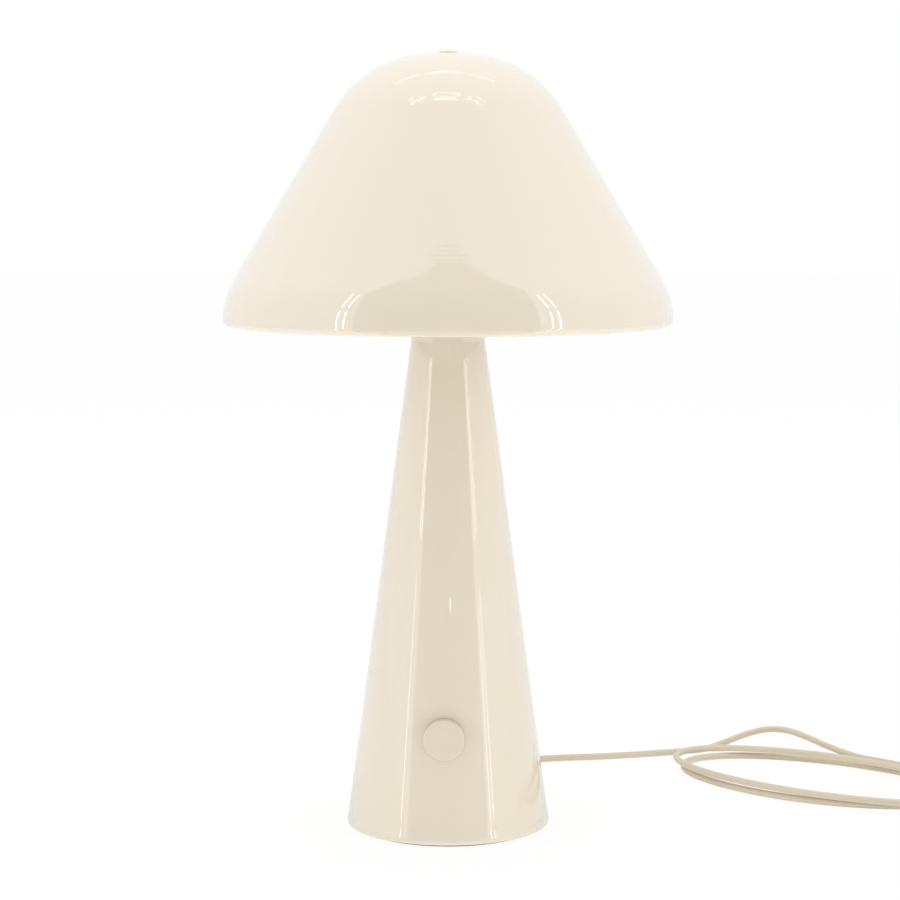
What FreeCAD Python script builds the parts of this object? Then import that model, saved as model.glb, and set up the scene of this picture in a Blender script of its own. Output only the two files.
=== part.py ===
"""Mushroom table lamp: a cone-shaped steel base, a spun steel dome shade on a wire harp,
a push button low on the front, and a mains cord that leaves the back and lies in a loose coil.

Millimetres. The origin is on the table under the middle of the base, +Z is up,
and the button faces -Y.
"""

import FreeCAD
import Part

import math
import os

V = FreeCAD.Vector
Y_AXIS, Z_AXIS = V(0, 1, 0), V(0, 0, 1)

# Clearances
seat_gap = 0.03        # between curved faces of pieces that are fastened together
slip_gap = 0.08        # radial, on pieces that slide or turn in each other
thread_gap = 0.05      # radial, between a plain shank and its nut or bore
cut_over = 1.0         # how far a cutting tool runs past what it cuts

# Base shell, a cone of sheet steel with its bottom edge turned in
sheet = 1.0
pad_thick = 1.0
plate_thick = 1.2
shell_bottom = pad_thick + plate_thick
foot_radius = 68.6     # where the cone line meets the bottom plane
neck_radius = 24.84    # where the cone ends, under the neck's straight cap
shell_top = 330.0
neck_top = 350.0
edge_round = 4.0
flare_z = 15.5         # where the spun foot starts to stand out from the cone
flare_height = 4.0
flare_out = 0.7        # how far it stands out where the flare ends
hem_out = 0.25         # how far it still stands out at the bottom
flare_curve = 14.0
hem_curve = 17.0
lip_inner_radius = 54.5

# Base plate, pad and weight
plate_radius = 61.0
plate_dish_radius = 17.0
plate_dish_rise = 5.0
dish_slope = 2.0
pad_radius = plate_radius - pad_thick
pad_bore = 22.0
weight_radius = 48.0
weight_thick = 14.0
weight_recess_radius = plate_dish_radius + 1.0
weight_recess_spare = 1.0

# Threaded lamp tube, its nuts and washers
tube_radius = 5.0
tube_bore = 3.9
tube_foot_z = 2.4
lead_slot_width = 5.6
lead_slot_low = 66.0
lead_slot_high = 98.0
nut_flats = 14.0
thin_nut = 3.0
weight_nut_thick = 4.0
washer_radius = 14.0
washer_thick = 1.5
lock_washer_radius = 9.0
lock_washer_thick = 0.8
lock_tooth_count = 12

# Neck cap, a straight collar on top of the cone with a spigot in it
neck_cap_thick = 2.0
neck_spigot_depth = 5.0
neck_spigot_wall = 1.5

# Shade, a spun dome with its rim turned in
shade_radius = 150.0
shade_height = 180.3
rim_z = 340.5
shade_wall = 0.9
rim_round = 4.5
rim_lip = 5.0
lower_curve = 52.1
shoulder_curve = 75.3
crown_curve = 195.0
crown_edge = 18.08     # level radius at which the crown's gentle arc ends
shade_hole = 3.3
shade_top = rim_z + shade_height

# Shade fastening: cap screw, washer, seat and its nut
cap_radius = 7.0
cap_edge = 0.9
cap_height = 2.9
cap_shank = 2.5
cap_shank_length = 13.0
cap_lift = 0.05
seat_washer_radius = 11.5
seat_washer_bore = 4.0
seat_washer_thick = 1.8
seat_radius = 11.0
seat_thick = 2.5
seat_shank = 3.5
seat_shank_length = 14.0
seat_nut_flats = 11.0
seat_nut_thick = 3.4

# Harp, a bent wire hoop round the bulb, and the saddle that holds it
harp_wire = 3.6
harp_foot_x = 30.0
harp_belly_x = 46.5
harp_shoulder_x = 42.0
harp_top_x = 21.0
harp_straight = 24.0
harp_belly_low = 62.0
harp_belly_high = 104.0
harp_shoulder_drop = 15.0
harp_eye_radius = 8.0
saddle_width = 14.0
saddle_thick = 1.6
socket_radius = 3.4
socket_height = 13.0

# Lampholder for an E27 bulb
holder_radius = 19.5
holder_wall = 2.0
holder_cap_height = 24.0
holder_entry_radius = 9.0
holder_entry_height = 5.0
holder_sleeve_height = 30.0
holder_mouth = 15.2
insert_thick = 9.0
insert_recess = 2.0
thread_mean = 12.65
thread_depth = 0.5
thread_pitch = 3.62
thread_count = 5
holder_shell_wall = 0.45
shell_air = 0.25

# Bulb
bulb_radius = 30.0
bulb_neck = 13.4
bulb_neck_curve = 40.0
bulb_glass_wall = 0.9
bulb_skirt = 5.0
bulb_plug_in = 2.6
contact_radius = 4.6
contact_height = 2.2
contact_air = 0.3

# Push button, its guide, spring, bracket and switch
button_z = 71.7
button_radius = 13.6
button_proud = 5.0
button_round = 2.6
button_skin = 2.5
button_wall = 2.0
button_depth = 12.3
button_flange = 1.6
button_flange_thick = 1.5
button_travel = 2.5
button_hole_gap = 0.25
button_stem = 2.6
guide_radius = 18.5
guide_chamber = 2.0
guide_depth = 7.6
guide_plate_thick = 2.5
guide_plate_width = 46.0
guide_plate_height = 28.0
guide_screw_x = 19.0
spring_wire = 0.9
spring_radius = 6.0
spring_turns = 5.0
bracket_thick = 1.5
bracket_stem_width = 20.0
bracket_foot_length = 20.0
bracket_bend = 3.0
bracket_screw_x = 5.5
switch_width = 20.0
switch_depth = 14.0
switch_height = 22.0
plunger_radius = 2.0
plunger_length = 7.0
tab_width = 3.0
tab_thick = 0.8
tab_length = 6.5
tab_x = 5.0

# Cord, its gland and what holds it inside
cord_d = 4.8
cord_exit_z = 24.0
gland_barrel = 4.5
gland_collar = 6.5
gland_collar_thick = 2.2
gland_tail_length = 24.0
gland_tail_thick = 5.2
gland_tail_thin = 3.4
gland_inner_length = 4.5
groove_count = 4
groove_depth = 0.9
clamp_y = 39.0
clamp_length = 8.0
clamp_half_width = 11.0
clamp_bridge_thick = 3.0
clamp_screw_x = 7.0
block_y = 18.0
block_length = 12.0
block_half_width = 9.0
block_height = 12.0
block_bore = 2.1
inner_lead_d = 4.4
switch_wire_d = 2.0

# Free cord: the points it is laid through between the gland and the coil, the arch it makes
# where it climbs onto the pile among them
lead_square = 15.0         # straight run out of the gland
lead_join = 16.0           # straight run into the coil
lead_points = [
    V(4.0, 130.0, 18.0), V(11.0, 152.0, 8.5), V(24.0, 174.0, 3.4), V(44.0, 191.0, cord_d / 2),
    V(71.0, 200.5, cord_d / 2), V(99.0, 205.5, cord_d / 2), V(127.0, 213.0, cord_d / 2),
    V(151.0, 221.5, cord_d / 2), V(171.0, 229.5, cord_d / 2), V(189.0, 235.0, 2.8),
    V(206.0, 240.5, 8.4), V(222.0, 245.0, 13.8), V(237.5, 246.5, 17.0), V(252.0, 240.5, 17.0),
    V(265.5, 226.0, 14.5), V(278.5, 207.5, 11.6)]
tail_point = V(381.0, 63.0, 3.8)
tail_square = 12.0         # straight run out of the coil
tail_join = 9.0            # straight run into the plug

# Coil: loops that spiral in on top of the pile and out again on the table
coil_centre = V(266.0, 130.0, 0)
coil_half_long = 127.0
coil_half_wide = 68.0
coil_tilt = math.radians(-37.0)
coil_start = math.radians(85.0)
coil_turns = 2.144
coil_top_end = 1.05        # turns spent on the upper layer
coil_low_start = 1.55      # turns when it lies on the table again
coil_pitch = 11.0          # how far each turn lies inside the last
coil_layer = 5.8
coil_fan = 4.0             # how much longer than wide the first turn is drawn out

# Plug, a flat moulded one with two round pins
plug_at = (391.0, 39.5)    # where the cord enters its sleeve
plug_turn = math.radians(-71.0)
plug_width = 35.3
plug_thick = 13.7
plug_length = 36.0
plug_tail_width = 14.0
plug_shoulder = 14.0
plug_corner = 5.0
pin_radius = 2.0
pin_length = 19.0
pin_spacing = 18.6
pin_root = 6.0
relief_length = 26.0
relief_thick = 4.6
relief_thin = 3.3

# Screws
screw_head_height = 0.62   # of the shank's diameter
screw_head_width = 0.95    # head radius, of the shank's diameter
bracket_screw_d = 4.0
bracket_screw_length = 9.0
guide_screw_d = 2.9
guide_screw_length = 3.4
clamp_screw_d = 3.5
clamp_screw_length = 16.0
guide_screw_hole = guide_screw_d / 2 + thread_gap
clamp_screw_hole = clamp_screw_d / 2 + thread_gap
bracket_screw_hole = bracket_screw_d / 2 + thread_gap


# General shapes

def corner_arc(before, at, after, radius):
    """Start, middle and end of the round of a radius between two lines that meet."""
    to_before, to_after = (before - at).normalize(), (after - at).normalize()
    half = to_before.getAngle(to_after) / 2
    reach = radius / math.tan(half)
    middle_way = (to_before + to_after).normalize()
    centre = at + middle_way * (radius / math.sin(half))
    return at + to_before * reach, centre - middle_way * radius, at + to_after * reach


def edge(a, b):
    return Part.LineSegment(a, b).toShape()


def bow(a, middle, b):
    return Part.Arc(a, middle, b).toShape()


def chain(points):
    """Edges through (point, corner radius) pairs, left open."""
    edges, at = [], points[0][0]
    for (before, _), (corner, radius), (after, _) in zip(points, points[1:], points[2:]):
        if radius > 0:
            start, middle, end = corner_arc(before, corner, after, radius)
            if (start - at).Length > 1e-6:
                edges.append(edge(at, start))
            edges.append(bow(start, middle, end))
            at = end
        else:
            edges.append(edge(at, corner))
            at = corner
    edges.append(edge(at, points[-1][0]))
    return edges


def outline(corners, plane=lambda a, b: V(a, 0, b)):
    """Closed face through (a, b) or (a, b, corner radius) corners."""
    points = [(plane(c[0], c[1]), c[2] if len(c) > 2 else 0) for c in corners]
    middle = (points[0][0] + points[-1][0]) * 0.5
    return Part.Face(Part.Wire(chain([(middle, 0)] + points + [(middle, 0)])))


def turned(corners):
    """Solid turned about the Z axis from (radius, height) corners."""
    return outline(corners).revolve(V(), Z_AXIS, 360)


def along(shape, origin, direction):
    """A shape made about Z from the origin, moved to point along a direction."""
    placed = shape.copy()
    placed.Placement = FreeCAD.Placement(origin, FreeCAD.Rotation(Z_AXIS, direction))
    return placed


def rod(radius, start, end):
    return Part.makeCylinder(radius, (end - start).Length, start, end - start)


def block(low, high):
    size = high - low
    return Part.makeBox(size.x, size.y, size.z, low)


def hex_nut(flats, thick, bore, z):
    """Hexagon nut with both faces chamfered, standing on the height z."""
    corner = flats / math.sqrt(3)
    chamfer = (corner - flats / 2) * 0.8
    around = [V(corner * math.cos(k * math.pi / 3), corner * math.sin(k * math.pi / 3), z)
              for k in range(7)]
    prism = Part.Face(Part.makePolygon(around)).extrude(V(0, 0, thick))
    barrel = turned([(0, z), (corner - chamfer, z), (corner, z + chamfer * 0.6),
                     (corner, z + thick - chamfer * 0.6), (corner - chamfer, z + thick),
                     (0, z + thick)])
    return prism.common(barrel).cut(rod(bore, V(0, 0, z - cut_over), V(0, 0, z + thick + cut_over)))


def pan_screw(diameter, length):
    """Slotted pan-head screw whose head stands on z = 0 and whose shank points down."""
    r, head, high = diameter / 2, diameter * screw_head_width, diameter * screw_head_height
    body = turned([(0, -length), (r * 0.5, -length), (r, -length + r * 0.6), (r, 0), (head, 0),
                   (head, high, high * 0.6), (0, high)])
    slot = block(V(-head - cut_over, -diameter * 0.1, high * 0.45),
                 V(head + cut_over, diameter * 0.1, high + cut_over))
    return body.cut(slot)


def route_edges(points, share=0.45):
    """Straight runs joined by tangent arcs, each as large as its two runs allow."""
    edges, at, radii = [], points[0], []
    for before, corner, after in zip(points, points[1:], points[2:]):
        turn = math.pi - (before - corner).getAngle(after - corner)
        shorter = min((before - corner).Length, (after - corner).Length)
        radius = share * shorter / math.tan(turn / 2)
        start, middle, end = corner_arc(before, corner, after, radius)
        edges += [edge(at, start), bow(start, middle, end)]
        at = end
        radii.append(radius)
    edges.append(edge(at, points[-1]))
    return edges, radii


def swept(edges, diameter, start, direction):
    """Round solid of a diameter along joined edges."""
    ring = Part.Wire([Part.Circle(start, direction, diameter / 2).toShape()])
    return Part.Wire(edges).makePipeShell([ring], True, False)


def report(name, solid, edges, diameter, radii):
    length = sum(e.Length for e in edges)
    plain = math.pi * diameter ** 2 / 4 * length
    print(f"{name}: length {length:.1f}, volume {solid.Volume / plain:.4f} of section times length,"
          f" radii {[round(r) for r in radii]}")


def hose(name, points, diameter):
    edges, radii = route_edges(points)
    solid = swept(edges, diameter, points[0], points[1] - points[0])
    report(name, solid, edges, diameter, radii)
    return solid


def two_arcs(start, along_start, end, along_end):
    """Two tangent arcs from one point and direction to another."""
    across, both = end - start, along_start + along_end
    squared = 2 * (1 - along_start.dot(along_end))
    if squared > 1e-9:
        reach = (math.sqrt(across.dot(both) ** 2 + squared * across.dot(across))
                 - across.dot(both)) / squared
    else:
        reach = across.dot(across) / (4 * across.dot(along_end))
    joint = (start + end + (along_start - along_end) * reach) * 0.5
    return [arc_from(start, along_start, joint), arc_from(end, along_end * -1, joint, True)]


def arc_from(start, direction, end, backwards=False):
    """Arc that leaves a point in a direction and reaches another."""
    chord = end - start
    half = direction.getAngle(chord)
    if half < 1e-7:
        return edge(end, start) if backwards else edge(start, end)
    outwards = (direction * chord.Length - chord * math.cos(half)).normalize()
    middle = start + chord * 0.5 + outwards * (chord.Length / 2 * math.tan(half / 2))
    return bow(end, middle, start) if backwards else bow(start, middle, end)


def winding(at, turns, steps_per_turn=4):
    """Arcs along a winding, where at(turn) gives its points."""
    step = 1.0 / steps_per_turn
    marks = [k * step for k in range(int(turns / step + 1e-9) + 1)]
    if turns - marks[-1] > step / 4:
        marks.append(turns)
    else:
        marks[-1] = turns
    small = 1e-5
    knots = [(at(t), (at(t + small) - at(t - small)).normalize()) for t in marks]
    edges = []
    for (a, a_way), (b, b_way) in zip(knots, knots[1:]):
        edges += two_arcs(a, a_way, b, b_way)
    return edges, knots


# Base

def cone_taper():
    """Loss of radius per unit of height."""
    return (foot_radius - neck_radius) / (shell_top - shell_bottom)


def cone_radius(z):
    return foot_radius - cone_taper() * (z - shell_bottom)


def cone_body(offset):
    """Solid inside the base's outer surface, grown or shrunk by an offset."""
    low, high = shell_bottom, shell_top
    return Part.makeCone(cone_radius(low) + offset, cone_radius(high) + offset, high - low,
                         V(0, 0, low))


def wall_across():
    """The wall's thickness measured level."""
    return sheet * math.hypot(1, cone_taper())


def button_face_y():
    return -(cone_radius(button_z) + button_proud)


def base_shell():
    inner = wall_across()
    band_z = flare_z - flare_height
    band, hem = cone_radius(band_z) + flare_out, foot_radius + hem_out
    shell = turned([
        (lip_inner_radius, shell_bottom), (hem, shell_bottom, edge_round), (band, band_z, hem_curve),
        (cone_radius(flare_z), flare_z, flare_curve), (neck_radius, shell_top),
        (neck_radius - inner, shell_top), (cone_radius(flare_z) - inner, flare_z, flare_curve + sheet),
        (band - inner, band_z, hem_curve - sheet),
        (hem - inner, shell_bottom + sheet, edge_round - sheet),
        (lip_inner_radius, shell_bottom + sheet)])
    front = rod(button_radius + button_hole_gap, V(0, -foot_radius - cut_over, button_z),
                V(0, 0, button_z))
    back = rod(gland_barrel + slip_gap, V(0, 0, cord_exit_z), V(0, foot_radius + cut_over, cord_exit_z))
    return shell.cut(front).cut(back)


def dish_top():
    return shell_bottom + plate_dish_rise


def base_plate():
    low, high, rise = pad_thick, shell_bottom, plate_dish_rise
    inner = plate_dish_radius - dish_slope
    return turned([
        (plate_radius, low), (plate_radius, high), (plate_dish_radius, high),
        (inner, high + rise), (tube_radius + thread_gap, high + rise),
        (tube_radius + thread_gap, low + rise), (inner - plate_thick, low + rise),
        (plate_dish_radius - plate_thick, low)])


def foot_pad():
    return turned([(pad_bore, 0), (pad_radius, 0, pad_thick / 3), (pad_radius, pad_thick),
                   (pad_bore, pad_thick)])


def weight_top():
    return shell_bottom + weight_thick


def counterweight():
    ceiling = dish_top() + weight_recess_spare
    body = turned([
        (weight_recess_radius, shell_bottom), (weight_radius, shell_bottom, 1.5),
        (weight_radius, weight_top(), 1.5), (tube_radius + 2 * thread_gap, weight_top()),
        (tube_radius + 2 * thread_gap, ceiling), (weight_recess_radius, ceiling)])
    holes = [(bracket_screw_d, bracket_screw_length, x, bracket_screw_y())
             for x in (-bracket_screw_x, bracket_screw_x)]
    holes += [(clamp_screw_d, clamp_screw_length - clamp_top() + weight_top(), x, clamp_middle())
              for x in (-clamp_screw_x, clamp_screw_x)]
    for diameter, depth, x, y in holes:
        top = V(x, y, weight_top() + cut_over)
        body = body.cut(rod(diameter / 2 + thread_gap, top, top - V(0, 0, depth + cut_over + 0.5)))
    return body


def tube_top():
    return holder_base() + holder_entry_height + 6.0


def lamp_tube():
    tube = turned([(tube_bore, tube_foot_z), (tube_radius, tube_foot_z), (tube_radius, tube_top()),
                   (tube_bore, tube_top())])
    half = lead_slot_width / 2
    slot = block(V(-half, 0, lead_slot_low), V(half, tube_radius + cut_over, lead_slot_high))
    for z in (lead_slot_low, lead_slot_high):
        slot = slot.fuse(rod(half, V(0, 0, z), V(0, tube_radius + cut_over, z)))
    return tube.cut(slot)


def plate_nut():
    return hex_nut(nut_flats, thin_nut, tube_radius + thread_gap, pad_thick + plate_dish_rise - thin_nut)


def weight_washer():
    return turned([(tube_radius + thread_gap, weight_top()), (washer_radius, weight_top(), 0.4),
                   (washer_radius, weight_top() + washer_thick, 0.4),
                   (tube_radius + thread_gap, weight_top() + washer_thick)])


def weight_nut():
    return hex_nut(nut_flats, weight_nut_thick, tube_radius + thread_gap, weight_top() + washer_thick)


def neck_cap():
    spigot = neck_radius - wall_across() - 2 * seat_gap
    inside = spigot - neck_spigot_wall
    low = shell_top - neck_spigot_depth
    return turned([
        (tube_radius + thread_gap, neck_top), (inside, neck_top), (inside, low), (spigot, low, 0.4),
        (spigot, shell_top), (neck_radius, shell_top),
        (neck_radius, neck_top + neck_cap_thick, 1.0),
        (tube_radius + thread_gap, neck_top + neck_cap_thick)])


# Harp, neck nut and lampholder

def saddle_z():
    return neck_top + neck_cap_thick


def lock_washer_z():
    return saddle_z() + saddle_thick


def neck_nut_z():
    return lock_washer_z() + lock_washer_thick


def holder_base():
    return neck_nut_z() + thin_nut + 0.2


def holder_seam():
    return holder_base() + holder_cap_height


def harp_saddle():
    half = saddle_width / 2
    strip = block(V(-harp_foot_x, -half, saddle_z()), V(harp_foot_x, half, lock_washer_z()))
    for x in (-harp_foot_x, harp_foot_x):
        strip = strip.fuse(rod(half, V(x, 0, saddle_z()), V(x, 0, lock_washer_z())))
        strip = strip.fuse(rod(socket_radius, V(x, 0, saddle_z()), V(x, 0, saddle_z() + socket_height)))
    strip = strip.cut(rod(tube_radius + thread_gap, V(0, 0, saddle_z() - cut_over),
                          V(0, 0, lock_washer_z() + cut_over)))
    for x in (-harp_foot_x, harp_foot_x):
        strip = strip.cut(rod(harp_wire / 2 + thread_gap, V(x, 0, lock_washer_z()),
                              V(x, 0, saddle_z() + socket_height + cut_over)))
    return strip.removeSplitter()


def lock_washer():
    ring = turned([(tube_radius + thread_gap, lock_washer_z()), (lock_washer_radius, lock_washer_z()),
                   (lock_washer_radius, neck_nut_z()), (tube_radius + thread_gap, neck_nut_z())])
    notch = block(V(lock_washer_radius - 1.6, -0.5, lock_washer_z() - cut_over),
                  V(lock_washer_radius + cut_over, 0.5, neck_nut_z() + cut_over))
    for k in range(lock_tooth_count):
        turned_notch = notch.copy()
        turned_notch.rotate(V(), Z_AXIS, 360.0 * k / lock_tooth_count)
        ring = ring.cut(turned_notch)
    return ring


def neck_nut():
    return hex_nut(nut_flats, thin_nut, tube_radius + thread_gap, neck_nut_z())


def seat_top():
    """The seat's top face, one soft washer below the shade's crown."""
    return shade_top - shade_wall - seat_washer_thick


def eye_z():
    return seat_top() - seat_thick - harp_wire / 2


def harp():
    foot, top = lock_washer_z(), eye_z()
    left = [V(-harp_foot_x, 0, foot), V(-harp_foot_x, 0, foot + harp_straight),
            V(-harp_belly_x, 0, foot + harp_belly_low), V(-harp_belly_x, 0, foot + harp_belly_high),
            V(-harp_shoulder_x, 0, top - harp_shoulder_drop), V(-harp_top_x, 0, top)]
    right = [V(-p.x, 0, p.z) for p in reversed(left)]
    edges, _ = route_edges(left + right)
    wire = swept(edges, harp_wire, left[0], Z_AXIS)
    low, high = top - harp_wire / 2, top + harp_wire / 2
    eye = turned([(0, low), (harp_eye_radius, low, 0.5), (harp_eye_radius, high, 0.5), (0, high)])
    bore = rod(seat_shank + slip_gap, V(0, 0, low - cut_over), V(0, 0, high + cut_over))
    return wire.fuse(eye).cut(bore).removeSplitter()


def shade_seat():
    top, flange = seat_top(), seat_top() - seat_thick
    low = flange - seat_shank_length
    return turned([
        (cap_shank + thread_gap, low), (seat_shank, low, 0.3), (seat_shank, flange),
        (seat_radius, flange, 0.6), (seat_radius, top), (cap_shank + thread_gap, top)])


def seat_nut():
    return hex_nut(seat_nut_flats, seat_nut_thick, seat_shank + thread_gap,
                   eye_z() - harp_wire / 2 - seat_nut_thick)


def seat_washer():
    ring = turned([(seat_washer_bore, seat_top()), (seat_washer_radius, seat_top(), 0.4),
                   (seat_washer_radius, shade_top), (seat_washer_bore, shade_top)])
    crown = Part.makeSphere(crown_curve - shade_wall - seat_gap, V(0, 0, shade_top - crown_curve))
    return ring.common(crown)


def holder_cap():
    low, seam, wall = holder_base(), holder_seam(), holder_wall
    step = low + holder_entry_height
    return turned([
        (tube_radius + thread_gap, low), (holder_entry_radius, low, 0.8), (holder_entry_radius, step, 1.0),
        (holder_radius, step + 8.0, 5.0), (holder_radius, seam), (holder_radius - wall, seam),
        (holder_radius - wall, step + 9.0, 4.0), (holder_entry_radius - wall, step + 2.0),
        (tube_radius + thread_gap, step + 2.0)])


def holder_insert():
    low, seam = holder_seam() - insert_thick, holder_seam()
    outer = holder_radius - holder_wall - seat_gap
    recess = shell_radius() + holder_shell_wall + thread_depth + seat_gap
    body = turned([
        (0, low), (outer - 1.5, low), (outer, low + 1.5), (outer, seam), (recess, seam),
        (recess, seam - insert_recess), (0, seam - insert_recess)])
    for x in (-11.0, 11.0):
        body = body.cut(rod(1.6, V(x, 0, low - cut_over), V(x, 0, low + 4.0)))
    return body


def wave(radius, z, count):
    """Corners of a rolled thread, crest after root, going up."""
    step = thread_pitch / 4
    corners = []
    for k in range(count):
        base = z + k * thread_pitch
        corners += [(radius, base), (radius + thread_depth, base + step, thread_depth),
                    (radius, base + 2 * step), (radius - thread_depth, base + 3 * step, thread_depth)]
    return corners + [(radius, z + count * thread_pitch)]


def shell_radius():
    """Mean inner radius of the lampholder's screw shell."""
    return thread_mean + thread_depth / 2 + shell_air


def holder_shell():
    low = holder_seam() - insert_recess
    inner = shell_radius()
    outer = inner + holder_shell_wall
    outside = wave(outer, low + 1.0, thread_count)
    inside = wave(inner, low + 1.0, thread_count)
    return turned([(contact_radius + 1.5, low), (outer, low)] + outside
                  + list(reversed(inside)) + [(inner, low + holder_shell_wall),
                                              (contact_radius + 1.5, low + holder_shell_wall)])


def holder_contact():
    low = holder_seam() - insert_recess
    return turned([(0, low), (contact_radius - 1.2, low), (contact_radius - 1.2, low + 0.6),
                   (contact_radius - 2.0, low + bulb_plug_in - contact_air), (0, low + bulb_plug_in - contact_air)])


def holder_sleeve():
    low, high, wall = holder_seam(), holder_seam() + holder_sleeve_height, holder_wall
    rib = []
    for k in range(5):
        z = low + 9.0 + 2.0 * k
        rib += [(holder_radius - 0.9, z), (holder_radius - 0.1, z + 0.6), (holder_radius - 0.1, z + 1.0),
                (holder_radius - 0.9, z + 1.6)]
    return turned([(holder_radius, low), (holder_radius, low + 7.5), (holder_radius - 0.9, low + 8.4)]
                  + rib + [(holder_radius - 0.9, high, 1.0), (holder_mouth, high),
                           (holder_mouth, high - wall), (holder_radius - wall - 0.9, high - wall),
                           (holder_radius - wall - 0.9, low + 8.0), (holder_radius - wall, low + 7.0),
                           (holder_radius - wall, low)])


# Bulb

def bulb_base():
    return holder_seam() - insert_recess + bulb_plug_in


def glass_base():
    return bulb_base() + contact_height + thread_count * thread_pitch + bulb_skirt


def bulb_cap():
    low = bulb_base() + contact_height
    top = glass_base()
    radius = thread_mean - thread_depth / 2
    outside = wave(radius, low, thread_count)
    return turned([(contact_radius + 1.6, low - 0.9), (radius - 1.2, low)] + outside
                  + [(bulb_neck + 0.2, top - bulb_skirt + 2.0, 1.0), (bulb_neck + 0.2, top),
                     (bulb_neck - bulb_glass_wall - 0.9, top),
                     (bulb_neck - bulb_glass_wall - 0.9, top - bulb_skirt),
                     (radius - thread_depth - 0.6, top - bulb_skirt),
                     (radius - thread_depth - 0.6, low + 1.0), (contact_radius + 1.6, low + 1.0)])


def bulb_contact():
    low, top = bulb_base(), bulb_base() + contact_height + 1.0
    return turned([(0, low), (contact_radius - 1.0, low, 0.6), (contact_radius, low + 1.0),
                   (contact_radius + 1.6 - seat_gap, top), (0, top)])


def bulb_glass():
    neck_z = glass_base()
    ball_z = neck_z + math.sqrt((bulb_radius + bulb_neck_curve) ** 2
                                - (bulb_neck + bulb_neck_curve) ** 2)

    def side(neck, ball, curve):
        """Open edges up from the neck over the ball to the axis."""
        hollow = V(neck + curve, 0, neck_z)
        ball_at = V(0, 0, ball_z)
        meet = ball_at + (hollow - ball_at).normalize() * ball
        neck_mid_angle = math.atan2(meet.z - hollow.z, meet.x - hollow.x) / 2 + math.pi / 2
        neck_mid = hollow + V(math.cos(neck_mid_angle), 0, math.sin(neck_mid_angle)) * curve
        ball_angle = math.atan2(meet.z - ball_z, meet.x)
        ball_mid_angle = (ball_angle + math.pi / 2) / 2
        ball_mid = ball_at + V(math.cos(ball_mid_angle), 0, math.sin(ball_mid_angle)) * ball
        top = ball_at + V(0, 0, ball)
        return V(neck, 0, neck_z), neck_mid, meet, ball_mid, top

    a, a_mid, b, b_mid, c = side(bulb_neck, bulb_radius, bulb_neck_curve)
    d, d_mid, e, e_mid, f = side(bulb_neck - bulb_glass_wall, bulb_radius - bulb_glass_wall,
                                 bulb_neck_curve + bulb_glass_wall)
    ring = Part.Wire([bow(a, a_mid, b), bow(b, b_mid, c), edge(c, f), bow(f, e_mid, e), bow(e, d_mid, d),
                      edge(d, a)])
    return Part.Face(ring).revolve(V(), Z_AXIS, 360)


# Shade

def shade_side(offset):
    """Arcs and lines of the shade's surface from the rim up, moved inwards by an offset."""
    rim_at = V(shade_radius - rim_round, 0, rim_z + rim_round)
    curve_at = V(shade_radius - lower_curve, 0, rim_z + rim_round)
    crown_at = V(0, 0, shade_top - crown_curve)
    crown_angle = math.acos(crown_edge / crown_curve)
    crown_out = V(math.cos(crown_angle), 0, math.sin(crown_angle))
    shoulder_at = crown_at + crown_out * (crown_curve - shoulder_curve)
    apart = shoulder_at - curve_at
    side_angle = (math.atan2(apart.z, apart.x)
                  - math.acos((lower_curve - shoulder_curve) / apart.Length))
    hole = math.asin(shade_hole / (crown_curve - offset))

    def on(centre, radius, angle):
        return centre + V(math.cos(angle), 0, math.sin(angle)) * (radius - offset)

    hole_angle = math.pi / 2 - hole
    lip = V(shade_radius - rim_round - rim_lip, 0, rim_z + offset)
    return [
        (edge, [lip, on(rim_at, rim_round, -math.pi / 2)]),
        (bow, [on(rim_at, rim_round, a) for a in (-math.pi / 2, -math.pi / 4, 0)]),
        (bow, [on(curve_at, lower_curve, a) for a in (0, side_angle / 2, side_angle)]),
        (edge, [on(curve_at, lower_curve, side_angle), on(shoulder_at, shoulder_curve, side_angle)]),
        (bow, [on(shoulder_at, shoulder_curve, a)
               for a in (side_angle, (side_angle + crown_angle) / 2, crown_angle)]),
        (bow, [on(crown_at, crown_curve, a)
               for a in (crown_angle, (crown_angle + hole_angle) / 2, hole_angle)]),
    ]


def shade():
    outside, inside = shade_side(0), shade_side(shade_wall)
    edges = [make(*points) for make, points in outside + inside]
    edges.append(edge(outside[0][1][0], inside[0][1][0]))
    edges.append(edge(outside[-1][1][-1], inside[-1][1][-1]))
    ring = Part.Wire(Part.__sortEdges__(edges))
    return Part.Face(ring).revolve(V(), Z_AXIS, 360)


def cap_screw():
    low = shade_top + cap_lift
    rise = cap_height - cap_edge
    dome = (cap_radius ** 2 + rise ** 2) / (2 * rise)
    ball = Part.makeSphere(dome, V(0, 0, low + cap_height - dome))
    head = turned([(0, low), (cap_radius, low, 0.25), (cap_radius, low + cap_height),
                   (0, low + cap_height)]).common(ball)
    shank = rod(cap_shank, V(0, 0, low - cap_shank_length), V(0, 0, low + cap_edge))
    return head.fuse(shank).removeSplitter()


# Push button and switch, turned along +Y from the button's face

def inward(corners):
    """Solid turned about the button's axis, with heights counted inwards from its face."""
    return along(turned(corners), V(0, button_face_y(), button_z), Y_AXIS)


def button_cap():
    r, back, skin = button_radius, button_depth, button_skin
    return inward([
        (0, 0), (r, 0, button_round), (r, back), (r + button_flange, back),
        (r + button_flange, back + button_flange_thick), (r - button_wall, back + button_flange_thick),
        (r - button_wall, skin, 1.0), (button_stem, skin), (button_stem, stem_end()), (0, stem_end())])


def stem_end():
    """Depth of the stem's end behind the button's face; pressed home it stops short of the switch."""
    return guide_back() + guide_plate_thick + bracket_thick - button_travel - 0.2


def guide_back():
    """Depth of the guide's back plate behind the button's face."""
    return button_depth + guide_depth


def guide_bore():
    return button_radius + slip_gap


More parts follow.
